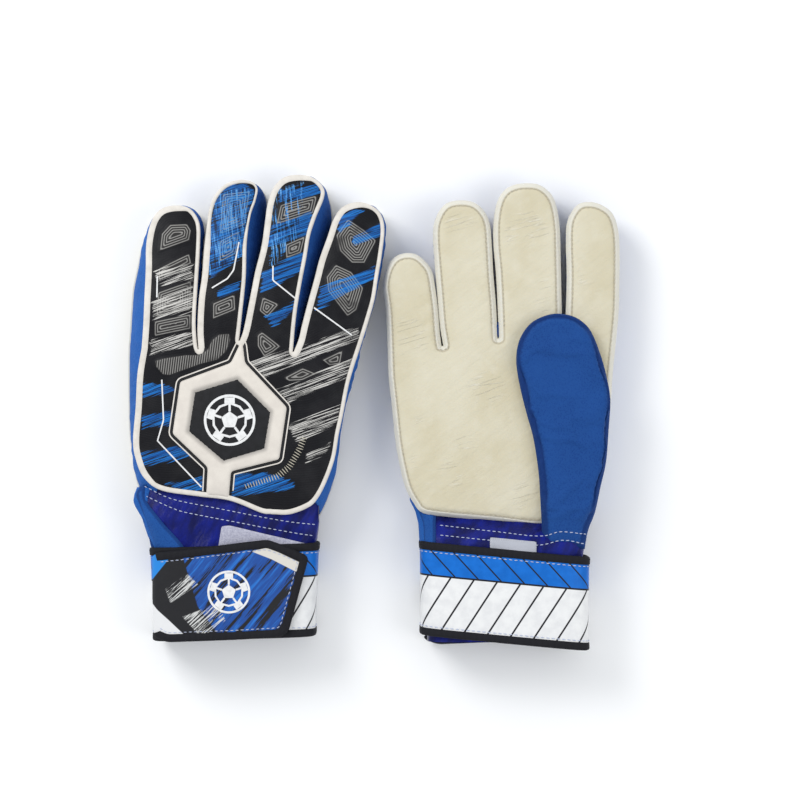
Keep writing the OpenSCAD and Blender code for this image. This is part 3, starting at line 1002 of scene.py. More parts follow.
def thumb_line(side):
    """The thumb's outline, turned to lie on that glove's fold line."""
    line = smooth_line(thumb_edge)
    foot = even(np.array([thumb_edge[-1], thumb_edge[0]], float), POINT_STEP)
    line = np.vstack([line, foot[1:-1]])
    if side == "right":
        return line
    here = {s: next(j for j in frame["joints"] if j["name"] == f"{s}_thumb_open") for s in GLOVES}
    at = {s: np.array([here[s]["pos_m"][0] / MM, here[s]["pos_m"][1] / MM - LIE_Y]) for s in GLOVES}
    way = {s: np.array(here[s]["axis"][:2]) * (1 if here[s]["axis"][1] > 0 else -1) for s in GLOVES}
    turn = atan(way["left"][0] / way["left"][1]) - atan(way["right"][0] / way["right"][1])
    rel = line - at["right"]
    turned = np.column_stack([rel[:, 0] * cos(turn) + rel[:, 1] * sin(turn),
                              rel[:, 1] * cos(turn) - rel[:, 0] * sin(turn)])
    return at["left"] + turned


def thumb_crown(points, depth):
    low = np.clip((points[:, 1] + 79) / 24, 0, 1)
    full = 5.4 + 2.9 * low + 0.4 * ripple(points, 26, 8)
    seam = 0.8 * np.exp(-((depth - 3.4) / 0.7) ** 2)
    return -np.minimum(3.7 + full * (1 - np.exp(-(depth + 0.2) / 3.2)) - seam, 12.2)


def points_of(data):
    flat = np.empty(len(data.vertices) * 3)
    data.vertices.foreach_get("co", flat)
    return flat.reshape(-1, 3)


def puffed(piece, held, pressure, frames, limit):
    """Lets cloth swell and crease from inside, with the held points kept in place."""
    data = piece.data
    start = points_of(data)
    group = piece.vertex_groups.new(name="held")
    group.add([int(i) for i in np.nonzero(held)[0]], 1.0, "REPLACE")
    cloth = piece.modifiers.new("cloth", "CLOTH")
    how = cloth.settings
    how.quality = 5
    how.mass = 0.2
    how.tension_stiffness = how.compression_stiffness = 15
    how.shear_stiffness = 8
    how.bending_stiffness = 0.3
    how.use_pressure = True
    how.uniform_pressure_force = pressure
    how.shrink_min = -0.05
    how.vertex_group_mass = "held"
    how.effector_weights.gravity = 0
    cloth.point_cache.frame_end = frames
    for step in range(1, frames + 1):
        scene.frame_set(step)
    swollen = piece.evaluated_get(bpy.context.evaluated_depsgraph_get()).data
    moved = points_of(swollen) - start
    far = np.linalg.norm(moved, axis=1)
    moved *= np.minimum(1, limit * MM / np.maximum(far, 1e-9))[:, None]
    piece.modifiers.remove(cloth)
    piece.vertex_groups.remove(group)
    scene.frame_set(1)
    data.vertices.foreach_set("co", (start + moved).ravel())
    data.update()


for side in GLOVES:
    line = thumb_line(side)
    into = away_from_edge(line)
    low = line[:, 1].min()
    jersey = padded_sheet(f"{side}_thumb_jersey", side, None, line, line, thumb_crown,
                          level(THUMB_JOIN), JERSEY,
                          # painted shade: the whole thumb is darkened, more in a band round its edge
                          {"shade": lambda xy, depth: 0.35 * (depth < 3.2) + 0.45})
    place = points_of(jersey.data)
    rim = distance_to(place[:, :2] / MM - [0, LIE_Y], line, True)
    under = np.abs(place[:, 2] / MM - PALM_Z[side]) < 3.7
    held = (rim < 1.0) | under | (place[:, 1] / MM < low + THUMB_ROOT)
    puffed(jersey, held, pressure=2.0, frames=14, limit=1.6)
    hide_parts(f"{side}_thumb_back", f"{side}_thumb_gore")
    short = line + into * 1.3
    short = short[short[:, 1] > short[:, 1].min() + THUMB_ROOT]
    latex = padded_sheet(f"{side}_thumb_latex", side, None, short, short,
                         lambda xy, depth: -0.5 - 1.6 * np.exp(-depth / 1.2),
                         level(THUMB_JOIN), LATEX, {"depth": depth_field})
    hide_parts(f"{side}_thumb_front")
    middle = line[:, 0].mean()
    for piece in (jersey, latex):
        tuple(to_world(side, None, [(middle, low + THUMB_TURNS[0])], [-4])[0])
        tuple(to_world(side, None, [(middle, low + THUMB_TURNS[1])], [-4])[0])
        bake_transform(piece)

# ---------------------------------------------------------------- satin wrist gaiters
# Below the palm and the back panel a tube of shiny royal blue satin gathers the glove in
# to the wrist. Its upper edge is sewn on with two rows of white stitches. At the little
# finger's side a fold of jersey runs down over it into the strap.
CUFF_X = {s: (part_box(f"{s}_strap_band")[0].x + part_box(f"{s}_strap_band")[1].x) / 2 / MM for s in GLOVES}
waist = {
    "left": {"left": [(-30, -142.6), (-36.4, -142.4), (-47, -141.2), (-54, -138.8), (-61, -134.7),
                      (-71.6, -131.8), (-78.7, -128.8), (-86, -126.8), (-135, -126.8)],
             "right": [(-30, -21.5), (-32.9, -22), (-43.4, -24.4), (-54, -28.5), (-61, -31.4),
                       (-74, -33.2), (-84, -36.4), (-135, -36.4)]},
    "right": {"left": [(-30, 15.5), (-33, 16), (-43.5, 19), (-50.5, 22), (-57.5, 25.5), (-64.6, 27.3),
                       (-77, 28), (-88, 31.6), (-140, 31.6)],
              "right": [(-30, 136.6), (-40, 133.8), (-50.5, 131.3), (-57.5, 130), (-64.5, 127),
                        (-77, 124), (-88, 122), (-140, 122)]},
}
SATIN_TOP = {"left": (-39, -50), "right": (-42, -52)}
SATIN_LOW = {"left": -129, "right": -133}


def waist_at(side, y):
    """The gaiter's middle, half width and lowest and highest places at each height of the wrist."""
    edge = [np.interp(-y, [-p[0] for p in waist[side][k]], [p[1] for p in waist[side][k]])
            for k in ("left", "right")]
    drawn = eased(np.clip((-y - 59) / 17, 0, 1))
    low = 4.6 - 14.2 * drawn
    high = 22.3 - 1.6 * drawn
    return (edge[0] + edge[1]) / 2, (edge[1] - edge[0]) / 2, low, high


def squared(t, power):
    return np.sign(t) * np.abs(t) ** (2 / power)


def satin_height(side, xy, above=True):
    """Height of the satin's back or palm face at a place in the plan."""
    mid, half, low, high = waist_at(side, xy[:, 1])
    share = np.clip(np.abs((xy[:, 0] - mid) / half), 0, 0.98) ** 4
    crown = (1 - share) ** 0.25
    centre, tall = (low + high) / 2, (high - low) / 2
    return centre + tall * crown * (1 if above else -1) + puckers(xy, 1.0 if above else -1.0)


def puckers(xy, sign):
    """Soft folds that run down the satin."""
    fold = 0.55 * np.sin(xy[:, 0] / 4.1 + 1.4 * np.sin(xy[:, 1] / 9)) + 0.5 * ripple(xy, 17, 21)
    return sign * fold * np.clip((-xy[:, 1] - 50) / 10, 0, 1) * np.clip((xy[:, 1] + 92) / 12, 0, 1)


def satin_cloth():
    made, tree, shader = new_finish("royal_satin", 0.3)
    place = own_place(tree)
    broad = noise(tree, stretched(tree, place, (0.4, 1, 1), radians(65)), 7, 4)
    # painted shade and highlight: the satin is painted darker and lighter along the same noise that bumps
    # its folds
    base = mix(tree, ramp(tree, broad, 0.3, 0.72), (0.002, 0.004, 0.07), (0.004, 0.012, 0.23))
    feed(tree, shader.inputs["Base Color"], base)
    weave = node(tree, "ShaderNodeTexWave", wave_type="BANDS", bands_direction="Y")
    feed(tree, weave.inputs["Vector"], place)
    weave.inputs["Scale"].default_value = 0.8
    weave.inputs["Distortion"].default_value = 0.6
    threads = bumped(tree, weave.outputs["Fac"], 0.05)
    feed(tree, shader.inputs["Normal"], bumped(tree, broad, 1.1, threads))
    shader.inputs["Anisotropic"].default_value = 0.5
    shader.inputs["Specular IOR Level"].default_value = 0.2
    return made


SATIN = satin_cloth()


def hoop_faces(rows, count, base=0):
    """Faces between closed rings of points, the last ring joined to the first."""
    faces = []
    for i in range(rows):
        for j in range(count):
            k, n = (j + 1) % count, (i + 1) % rows
            faces.append((base + i * count + j, base + i * count + k,
                          base + n * count + k, base + n * count + j))
    return faces


def tube(name, skin, count, rows, thick, material):
    """A closed tube wall. skin(share round, share down, inwards) gives rings in metres."""
    around = np.linspace(0, 2 * pi, count, endpoint=False)
    down = np.linspace(0, 1, rows)
    outer = [skin(around, t, 0.0) for t in down]
    inner = [skin(around, t, thick) for t in down[::-1]]
    return mesh_piece(name, np.vstack(outer + inner), hoop_faces(2 * rows, count), material, 50)


for side in GLOVES:
    def satin_skin(around, down, inwards, side=side):
        x_share, h_share = squared(np.cos(around), 4), squared(np.sin(around), 4)
        left_top, right_top = SATIN_TOP[side]
        back = left_top + (right_top - left_top) * (x_share + 1) / 2
        top = np.where(h_share > 0, back + (-55 - back) * (1 - h_share), -55.0)
        y = top + (SATIN_LOW[side] - top) * down
        mid, half, low, high = waist_at(side, y)
        x = mid + (half - inwards) * x_share
        tuck = 3.4 * np.clip(1 - down * 9, 0, 1)
        x = x - tuck * x_share
        xy = np.column_stack([x, y])
        h = (low + high) / 2 + ((high - low) / 2 - inwards - 0.4 * tuck) * h_share + puckers(xy, h_share)
        return to_world(side, None, xy, h)
    piece = tube(f"{side}_satin_gaiter", satin_skin, 220, 60, 1.2, SATIN)
    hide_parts(f"{side}_wrist_gaiter")
    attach(piece, f"{side}_hand")

for side in GLOVES:
    turns = np.linspace(pi - 0.72, pi + 0.72, 40)
    heights = np.linspace(-43, -84, 34)
    skins = []
    for out in (0.9, -0.5):
        for y in heights:
            mid, half, low, high = waist_at(side, np.full(len(turns), y))
            grown = out - 4.0 * max(0.0, (y + 51) / 8)
            x = mid + (half + grown) * squared(np.cos(turns), 4)
            h_share = squared(np.sin(turns), 4)
            h = (low + high) / 2 + ((high - low) / 2 + out) * h_share
            xy = np.column_stack([x, np.full(len(turns), y)])
            skins.append(to_world(side, None, xy, h + puckers(xy, h_share)))
        heights = heights[::-1]
    loop = np.array(skins).transpose(1, 0, 2)
    piece = swept([loop], lambda run: run, f"{side}_jersey_side_strip", JERSEY)
    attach(piece, f"{side}_hand")

fold_edge = {
    "left": [(-133.5, -41), (-132.5, -50.5), (-124, -62), (-110, -80), (-128, -81), (-132.5, -68),
             (-136.5, -56), (-138.5, -46)],
    "right": [(25, -52), (29, -56), (36, -58.5), (36.5, -64), (35.5, -79), (29, -77.5),
              (28, -65), (25.5, -57)],
}
for side in GLOVES:
    above = side == "left"
    corners = np.array(fold_edge[side], float)
    line = smooth_line(np.vstack([corners, corners[:1]]))[:-1]

    def fold_top(xy, depth, side=side, above=above):
        lift = 0.5 + 1.5 * (1 - np.exp(-depth / 1.6))
        return satin_height(side, xy, above) + (lift if above else -lift)

    def fold_under(xy, depth, side=side, above=above):
        return satin_height(side, xy, above) + (-0.6 if above else 0.6)
    # painted shade: the jersey fold is darkened, more along its edge
    piece = padded_sheet(f"{side}_jersey_fold", side, None, line, line, fold_top, fold_under, JERSEY,
                         {"shade": lambda xy, depth: 0.25 + 0.4 * (depth < 1.5)})
    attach(piece, f"{side}_hand")

# ---------------------------------------------------------------- wrist straps
# A broad strap of coated cloth wraps the wrist. Below its black bound edge it is blue
# with black slanting lines, then, under one black line, white with lines that slant the
# other way. A second black binding closes the lower edge.
STRAP_HALF = {"left": (49.4, 47.4), "right": (49.6, 49.2)}
STRAP_SLOPE = {"left": (-77.6, 0.03), "right": (-79.6, -0.095)}
STRAP_LONG = 53.0
STRAP_HALF_THICK = 1.1
STRAP_MIDDLE_H = 5.75
STRAP_HALF_H = 16.9


def strap_skin(side, around, down, out):
    """A ring round the strap, down mm below its upper edge and out mm outside its middle."""
    wide = np.interp(down, [0, STRAP_LONG], STRAP_HALF[side]) - STRAP_HALF_THICK
    x = CUFF_X[side] + (wide + out) * squared(np.cos(around), 5)
    h = STRAP_MIDDLE_H + (STRAP_HALF_H + out) * squared(np.sin(around), 5)
    top, slope = STRAP_SLOPE[side]
    y = top + slope * (x - CUFF_X[side]) - down
    return to_world(side, None, np.column_stack([x, y]), h)


def strap_cloth():
    made, tree, shader = new_finish("strap_print", 0.42)
    down, round_it = field(tree, "down"), field(tree, "round")

    def slanted(slope):
        shifted = calc(tree, "ADD", round_it, calc(tree, "MULTIPLY", down, slope))
        part = calc(tree, "FRACT", calc(tree, "DIVIDE", shifted, 13.5))
        return ramp(tree, calc(tree, "ABSOLUTE", calc(tree, "SUBTRACT", part, 0.5)), 0.056, 0.032)
    place = own_place(tree)
    soft = noise(tree, place, 6, 3)
    blue = mix(tree, ramp(tree, soft, 0.3, 0.7), (0.004, 0.125, 0.50), (0.007, 0.155, 0.60))
    white = mix(tree, ramp(tree, soft, 0.3, 0.7), (0.72, 0.72, 0.72), (0.80, 0.80, 0.79))
    lower = ramp(tree, down, 18.2, 18.5)
    base = mix(tree, lower, blue, white)
    lines = calc(tree, "ADD", calc(tree, "MULTIPLY", slanted(-1.0), calc(tree, "SUBTRACT", 1.0, lower)),
                 calc(tree, "MULTIPLY", slanted(0.62), lower))
    border = ramp(tree, calc(tree, "ABSOLUTE", calc(tree, "SUBTRACT", down, 18.3)), 0.65, 0.4)
    base = mix(tree, calc(tree, "MAXIMUM", lines, border), base, (0.012, 0.012, 0.016))
    feed(tree, shader.inputs["Base Color"], base)
    grain = noise(tree, place, 0.5, 2)
    feed(tree, shader.inputs["Normal"], bumped(tree, grain, 0.07, bumped(tree, soft, 0.35)))
    return made


def binding_tape():
    made, tree, shader = new_finish("binding_tape", 0.75)
    place = own_place(tree)
    ribs = node(tree, "ShaderNodeTexWave", wave_type="BANDS", bands_direction="X")
    feed(tree, ribs.inputs["Vector"], place)
    ribs.inputs["Scale"].default_value = 0.45
    ribs.inputs["Distortion"].default_value = 1.0
    base = mix(tree, ribs.outputs["Fac"], (0.006, 0.006, 0.008), (0.022, 0.022, 0.026))
    feed(tree, shader.inputs["Base Color"], base)
    feed(tree, shader.inputs["Normal"], bumped(tree, ribs.outputs["Fac"], 0.12))
    return made


STRAP_PRINT = strap_cloth()
BLACK_TAPE = binding_tape()
ROUND = np.linspace(0, 2 * pi, 320, endpoint=False)

for side in GLOVES:
    downs = np.linspace(0, STRAP_LONG, 40)
    skins = [strap_skin(side, ROUND, d, STRAP_HALF_THICK) for d in downs]
    skins += [strap_skin(side, ROUND, d, -STRAP_HALF_THICK) for d in downs[::-1]]
    middle = strap_skin(side, ROUND, STRAP_LONG / 2, STRAP_HALF_THICK)
    step = np.linalg.norm(np.diff(middle, axis=0), axis=1) / MM
    length = np.concatenate([[0], np.cumsum(step)])
    length = (length - length[240]) * (1 if side == "right" else -1)
    rows, count = len(skins), len(ROUND)
    fields = {"down": np.repeat(np.concatenate([downs, downs[::-1]]), count),
              "round": np.tile(length, rows)}
    piece = mesh_piece(f"{side}_strap", np.vstack(skins), hoop_faces(rows, count), STRAP_PRINT, 50,
                       fields)
    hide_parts(f"{side}_strap_band")
    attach(piece, f"{side}_hand")
    bound, faces = [], []
    section = [(-0.9, -0.4), (-0.9, 0.4), (-0.3, 1.5), (0.6, 1.75), (3.4, 1.6), (3.8, 1.2),
               (3.8, 0.4), (3.8, -0.6), (3.0, -1.5), (0.6, -1.75), (-0.3, -1.5)]
    for start, way in ((0.0, 1), (STRAP_LONG, -1)):
        faces += hoop_faces(len(section), count, len(bound) * count)
        bound += [strap_skin(side, ROUND, start + way * d, out) for d, out in section]
    piece = mesh_piece(f"{side}_strap_binding", np.vstack(bound), faces, BLACK_TAPE, 60)
    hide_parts(f"{side}_strap_edging")
    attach(piece, f"{side}_hand")

# ---------------------------------------------------------------- closing tabs
# The strap ends in a stiff printed tab with a cut-off corner, bound in black tape all
# round. It lies over the strap and is held by hook tape. The print is black with blue
# scratches, a cream corner patch and a plain white ball mark.
tab_edge = [(-129, -82), (-101, -78.8), (-72.5, -75.2), (-61.5, -74), (-49, -78.6), (-38.5, -83.5),
            (-44, -104), (-50, -126), (-54, -129), (-80, -130.5), (-120, -132), (-128, -129),
            (-129, -106)]
TAB_SHIFT = {"left": np.array([0.0, 0.0]), "right": np.array([CUFF_X["right"] - CUFF_X["left"], -4.2])}
cream_corner = [(-71, -79.8), (-61, -77.6), (-42.5, -86.5), (-44.5, -92), (-59, -84.5)]
tab_blue_corner = [(-131, -77), (-113, -77), (-131, -99)]
tab_white_corner = [(-131, -108), (-126, -114), (-119, -120), (-104, -134), (-131, -134)]
tab_blue = [[(-112, -79), (-64, -79), (-44, -92), (-52, -131), (-88, -131), (-102, -112)]]
tab_white = [[(-121, -102), (-108, -93), (-102, -99), (-118, -110)],
             [(-111, -118), (-90, -110), (-86, -120), (-100, -130)]]


def tab_lie(side, xy):
    """Height of the strap under the tab, which curves down at the strap's folded ends."""
    share = np.clip(np.abs((xy[:, 0] - CUFF_X[side]) / 49.3), 0, 0.97) ** 5
    return STRAP_MIDDLE_H + 18.05 * (1 - share) ** 0.2


def tab_print():
    made, tree, shader = new_finish("tab_print", 0.4)
    place = node(tree, "ShaderNodeAttribute", attribute_name="print_at").outputs["Vector"]
    slant = stretched(tree, place, (0.02, 0.30, 1), radians(50))
    fine = stretched(tree, place, (0.05, 1.3, 1), radians(42))
    bars = noise(tree, slant, 1.0, 4, 0.65)
    chips = noise(tree, fine, 1.0, 3, 0.7)
    tone = mix(tree, ramp(tree, bars, 0.52, 0.66), (0.008, 0.065, 0.30), (0.015, 0.16, 0.56))

    def printed(name, soft=0.2):
        return ramp(tree, field(tree, name), -soft, soft)
    blue = calc(tree, "MULTIPLY", printed("tab_blue", 0.4), ramp(tree, bars, 0.44, 0.48))
    base = mix(tree, blue, (0.008, 0.008, 0.010), tone)
    white = calc(tree, "MULTIPLY", printed("tab_white", 0.4), ramp(tree, chips, 0.49, 0.53))
    base = mix(tree, white, base, (0.62, 0.62, 0.60))
    base = mix(tree, printed("blue_corner"), base, (0.012, 0.22, 0.66))
    base = mix(tree, printed("white_corner"), base, (0.74, 0.74, 0.74))
    base = mix(tree, printed("cream_corner"), base, (0.66, 0.63, 0.57))
    lining = mix(tree, noise(tree, place, 0.8, 3), (0.10, 0.10, 0.17), (0.17, 0.17, 0.26))
    base = mix(tree, ramp(tree, field(tree, "face_side"), 0.3, 0.7), lining, base)
    feed(tree, shader.inputs["Base Color"], base)
    grain = node(tree, "ShaderNodeTexVoronoi")
    feed(tree, grain.inputs["Vector"], place)
    grain.inputs["Scale"].default_value = 1.5
    wavy = bumped(tree, noise(tree, place, 8, 2), 0.35)
    feed(tree, shader.inputs["Normal"], bumped(tree, grain.outputs["Distance"], 0.05, wavy))
    shader.inputs["Specular IOR Level"].default_value = 0.35
    return made


TAB_PRINT = tab_print()


def peel_with(piece):
    """Bakes a tab piece's placement into its mesh."""
    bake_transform(piece)


def tab_top(side, xy, depth):
    return tab_lie(side, xy) + 2.9 + 0.35 * (1 - np.exp(-depth / 4)) + 0.12 * ripple(xy, 22, 31)


def tab_fields(side):
    shift = TAB_SHIFT[side]

    def of(polygons):
        return lambda xy, depth: deepest(xy - shift, polygons)

    def place(xy, depth):
        return np.column_stack([xy - shift, np.zeros(len(xy))])
    return {"print_at": place, "tab_blue": of(tab_blue), "tab_white": of(tab_white),
            "blue_corner": of([tab_blue_corner]), "white_corner": of([tab_white_corner]),
            "cream_corner": of([cream_corner])}


def rounded_ring(corners, radius, step=1.2):
    """A polygon's ring with its corners rounded off."""
    corners = np.array(corners, float)
    line = []
    for before, at, after in zip(np.roll(corners, 1, axis=0), corners, np.roll(corners, -1, axis=0)):
        a, b = before - at, after - at
        reach = min(radius, 0.45 * np.linalg.norm(a), 0.45 * np.linalg.norm(b))
        p, q = at + a / np.linalg.norm(a) * reach, at + b / np.linalg.norm(b) * reach
        t = np.linspace(0, 1, 7)[:, None]
        line.append((1 - t) ** 2 * p + 2 * t * (1 - t) * at + t**2 * q)
    line = np.vstack(line + [line[0][:1]])
    return even(line, step)[:-1]


def binding_round(side, profile, heights):
    """Sections for a bound edge. profile lists (inwards, up) from the sheet's edge."""
    def section(run):
        line, into = run
        rings = []
        for inwards, up in profile:
            xy = line + into * inwards
            rings.append(to_world(side, None, xy, heights(xy) + up))
        return np.stack(rings, axis=1)
    return section


def opened(keep, *rings):
    """The one stretch of each closed ring that is kept, from its first point to its last."""
    first = int(np.nonzero(~keep & np.roll(keep, -1))[0][0]) + 1
    return [np.roll(ring, -first, axis=0)[:int(keep.sum())] for ring in rings]


def flat_shape(name, side, shapes, heights, thick, material):
    """Closed thin flat shapes laid on a surface, for printed marks."""
    points, faces, base = [], [], 0
    for shape in shapes:
        ring = np.array(shape, float)
        top = to_world(side, None, ring, heights(ring) + thick)
        low = to_world(side, None, ring, heights(ring) - 0.4)
        n = len(ring)
        points += [top, low]
        faces.append(tuple(base + i for i in range(n)))
        faces.append(tuple(base + n + i for i in reversed(range(n))))
        faces += [(base + i, base + n + i, base + n + (i + 1) % n, base + (i + 1) % n) for i in range(n)]
        base += 2 * n
    return mesh_piece(name, np.vstack(points), faces, material, 30)


def ball_mark(centre, radius):
    """A plain ball drawn as a pentagon, five seams and an outer ring in short pieces."""
    centre = np.array(centre, float)

    def at(r, angle):
        return centre + r * radius * np.array([sin(angle), cos(angle)])
    shapes = [[at(0.34, 2 * pi * i / 5) for i in range(5)]]
    for i in range(5):
        a = 2 * pi * i / 5
        side_way = np.array([cos(a), -sin(a)]) * radius * 0.045
        shapes.append([at(0.34, a) + side_way, at(0.62, a) + side_way, at(0.62, a) - side_way,
                       at(0.34, a) - side_way])
        b = a + pi / 5
        shapes.append([at(0.62, a), at(0.60, b), at(0.69, b), at(0.71, a)])
        c = a - pi / 5
        shapes.append([at(0.71, a), at(0.69, c), at(0.60, c), at(0.62, a)])
        shapes.append([at(0.68, a - 0.3), at(0.90, a - 0.22), at(0.90, a + 0.22), at(0.68, a + 0.3)])
    steps = 40
    for i in range(steps):
        a, b = 2 * pi * i / steps, 2 * pi * (i + 1) / steps
        shapes.append([at(0.9, a), at(1.0, a), at(1.0, b), at(0.9, b)])
    return shapes


def white_ink():
    made, tree, shader = new_finish("white_ink", 0.5)
    place = own_place(tree)
    worn = ramp(tree, noise(tree, place, 2.2, 4), 0.25, 0.6)
    base = mix(tree, worn, (0.66, 0.66, 0.65), (0.80, 0.80, 0.79))
    feed(tree, shader.inputs["Base Color"], base)
    feed(tree, shader.inputs["Normal"], bumped(tree, noise(tree, place, 0.7, 2), 0.05))
    return made


WHITE_INK = white_ink()

for side in GLOVES:
    shift = TAB_SHIFT[side]
    line = rounded_ring(np.array(tab_edge) + shift, 2.5)
    piece = padded_sheet(f"{side}_tab_panel", side, None, line, line,
                         lambda xy, depth: tab_top(side, xy, depth),
                         lambda xy, depth: tab_lie(side, xy) + 0.9, TAB_PRINT,
                         tab_fields(side), pitch=1.15)
    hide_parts(f"{side}_strap_tab")
    peel_with(piece)
    profile = [(-0.9, 1.4), (-0.9, 2.6), (-0.3, 3.5), (0.6, 3.9), (3.3, 3.75), (3.8, 3.2), (3.8, 1.6),
               (3.4, 0.6), (0.6, 0.4), (-0.3, 0.8)]
    bound = opened(line[:, 0] > line[:, 0].min() + 1.1, line, away_from_edge(line))
    section = binding_round(side, profile, lambda xy: tab_lie(side, xy))
    piece = swept([bound], section, f"{side}_tab_binding", BLACK_TAPE)
    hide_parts(f"{side}_tab_edging")
    peel_with(piece)
    piece = flat_shape(f"{side}_tab_mark", side, ball_mark(np.array([-84, -103.5]) + shift, 12.5),
                       lambda xy: tab_top(side, xy, np.full(len(xy), 20.0)), 0.15, WHITE_INK)
    peel_with(piece)

# ---------------------------------------------------------------- badge and cream frame
# On the back of the hand a six-sided cream moulding frames a black badge. It has a spike
# between two fingers and a stem down to the piping. A thin cream line follows it
# outside a black gap, and thin pale lines run over the rest of the print.
FRAME_TOP = 28.0
frame_edge = [(-97.5, -48), (-96.5, -31), (-117, -11.5), (-112.5, 19), (-83, 30), (-77.8, 41),
              (-75.8, 41), (-74.4, 30), (-50, 4), (-54.5, -26.5), (-82.5, -33.5), (-84, -50)]
badge_edge = [(-79, 20), (-60, 1), (-63.5, -20), (-87, -27), (-107, -10), (-103.5, 12.5)]
thin_lines = [
    ("ring", [(-78.5, 100.5), (-81.5, 84), (-85, 79), (-94, 73.5)]),
    ("middle", [(-58.5, 86.5), (-58.5, 78), (-45.5, 67.5)]),
    ("index", [(-34.5, 62), (-23.26, 53.83)]),
    (None, [(-23.26, 53.83), (-12.5, 46)]),
    ("little", [(-126, 80.5), (-126, 68)]),
    (None, [(-123, 20), (-122, -3.5), (-125.5, -15.5), (-100, -42.5)]),
]


def badge_print():
    made, tree, shader = new_finish("badge_vinyl", 0.5)
    place = own_place(tree)
    uneven = ramp(tree, noise(tree, place, 4, 3), 0.3, 0.7)
    base = mix(tree, uneven, (0.005, 0.005, 0.006), (0.010, 0.010, 0.012))
    feed(tree, shader.inputs["Base Color"], base)
    feed(tree, shader.inputs["Normal"], bumped(tree, noise(tree, place, 0.6, 2), 0.06))
    shader.inputs["Specular IOR Level"].default_value = 0.3
    return made


def moulded_cream():
    made, tree, shader = new_finish("moulded_cream", 0.45)
    place = own_place(tree)
    uneven = ramp(tree, noise(tree, place, 9, 3), 0.3, 0.7)
    base = mix(tree, uneven, (0.73, 0.68, 0.61), (0.66, 0.61, 0.55))
    # painted shade: the frame is painted darker down into its sunken well round the badge
    well = ramp(tree, field(tree, "well"), -3.4, 0.2)
    base = mix(tree, calc(tree, "MULTIPLY", well, 0.62), base, (0.16, 0.15, 0.14))
    feed(tree, shader.inputs["Base Color"], base)
    feed(tree, shader.inputs["Normal"], bumped(tree, noise(tree, place, 0.9, 3), 0.08))
    return made


BADGE = badge_print()
MOULDED = moulded_cream()


def ribbon(name, side, finger, lines, width, heights, material, thick=0.25):
    """Thin flat strips laid along open lines."""
    def section(line):
        ahead = np.gradient(line, axis=0)
        ahead /= np.linalg.norm(ahead, axis=1)[:, None]
        across = np.column_stack([-ahead[:, 1], ahead[:, 0]]) * width / 2
        rings = []
        for way, up in ((-1, -0.4), (-1, thick), (1, thick), (1, -0.4)):
            xy = line + across * way
            rings.append(to_world(side, finger, xy, heights(xy) + up))
        return np.stack(rings, axis=1)
    return swept(lines, section, name, material, 30)


for side in GLOVES:
    shift = PRINT_SHIFT[side]

    def on_back(xy, side=side):
        return raised(side, None, xy)
    line = rounded_ring(np.array(frame_edge) + shift, 1.6, 1.0)
    well = np.array(badge_edge) + shift

    def frame_top(xy, depth):
        rim = 1.5 * (1 - np.exp(-depth / 0.8))
        sunk = np.clip((in_polygon(xy, well) + 2.6) / 2.6, 0, 1)
        return np.minimum(on_back(xy) - 0.3 + rim - 1.3 * sunk, FRAME_TOP)
    piece = padded_sheet(f"{side}_cream_frame", side, None, line, line, frame_top,
                         level(24.2), MOULDED,
                         {"well": lambda xy, depth: in_polygon(xy, well)}, pitch=1.2)
    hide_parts(f"{side}_back_frame")
    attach(piece, f"{side}_hand")
    inner = rounded_ring(well, 1.2, 1.2)
    piece = padded_sheet(f"{side}_badge", side, None, inner, inner,
                         lambda xy, depth: on_back(xy) + 0.15 + 0.25 * (1 - np.exp(-depth / 1.5)),
                         level(24.8), BADGE, pitch=2.0)
    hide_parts(f"{side}_back_badge")
    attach(piece, f"{side}_hand")
    piece = flat_shape(f"{side}_badge_mark", side, ball_mark(np.array([-83.5, -3.5]) + shift, 15),
                       lambda xy: on_back(xy) + 0.4, 0.15, WHITE_INK)
    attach(piece, f"{side}_hand")
    strips = []
    for gap in (0.7, 1.9):
        around = line - away_from_edge(line) * gap
        strips += opened(around[:, 1] > -45.5 + shift[1], around)
    piece = ribbon(f"{side}_frame_shadow_line", side, None, [strips[0]], 1.5, on_back, BADGE, 0.16)
    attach(piece, f"{side}_hand")
    piece = ribbon(f"{side}_frame_outer_line", side, None, [strips[1]], 0.7, on_back, CREAM, 0.3)
    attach(piece, f"{side}_hand")
for count, (finger, corners) in enumerate(thin_lines):
    line = even(np.array(corners, float), 1.0)
    piece = ribbon(f"left_{finger or 'hand'}_thin_line_{count}", "left", finger, [line], 0.8,
                   lambda xy: raised("left", finger, xy), WHITE_INK, 0.2)
    if finger is None:
        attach(piece, "left_hand")
    else:
        bend_with(piece, "left", finger)

# ---------------------------------------------------------------- loop patch, label and hook tape
# A pale loop patch on the back of the gaiter takes the tab's hook tape when the strap is
# pulled tight. A blank woven label is sewn to the palm side of the gaiter.


def loop_pile():
    made, tree, shader = new_finish("loop_pile", 0.9)
    place = own_place(tree)
    tufts = ramp(tree, noise(tree, place, 1.1, 4, 0.7), 0.3, 0.7)
    base = mix(tree, tufts, (0.40, 0.40, 0.52), (0.62, 0.62, 0.72))
    feed(tree, shader.inputs["Base Color"], base)
    feed(tree, shader.inputs["Normal"], bumped(tree, noise(tree, place, 0.5, 4, 0.8), 0.5))
    shader.inputs["Sheen Weight"].default_value = 0.4
    return made


def woven_label():
    made, tree, shader = new_finish("woven_label", 0.6)
    place = own_place(tree)
    weave = node(tree, "ShaderNodeTexChecker")
    feed(tree, weave.inputs["Vector"], place)
    weave.inputs["Scale"].default_value = 2.0
    base = mix(tree, weave.outputs["Fac"], (0.42, 0.44, 0.50), (0.54, 0.55, 0.60))
    feed(tree, shader.inputs["Base Color"], base)
    feed(tree, shader.inputs["Normal"], bumped(tree, weave.outputs["Fac"], 0.08))
    return made


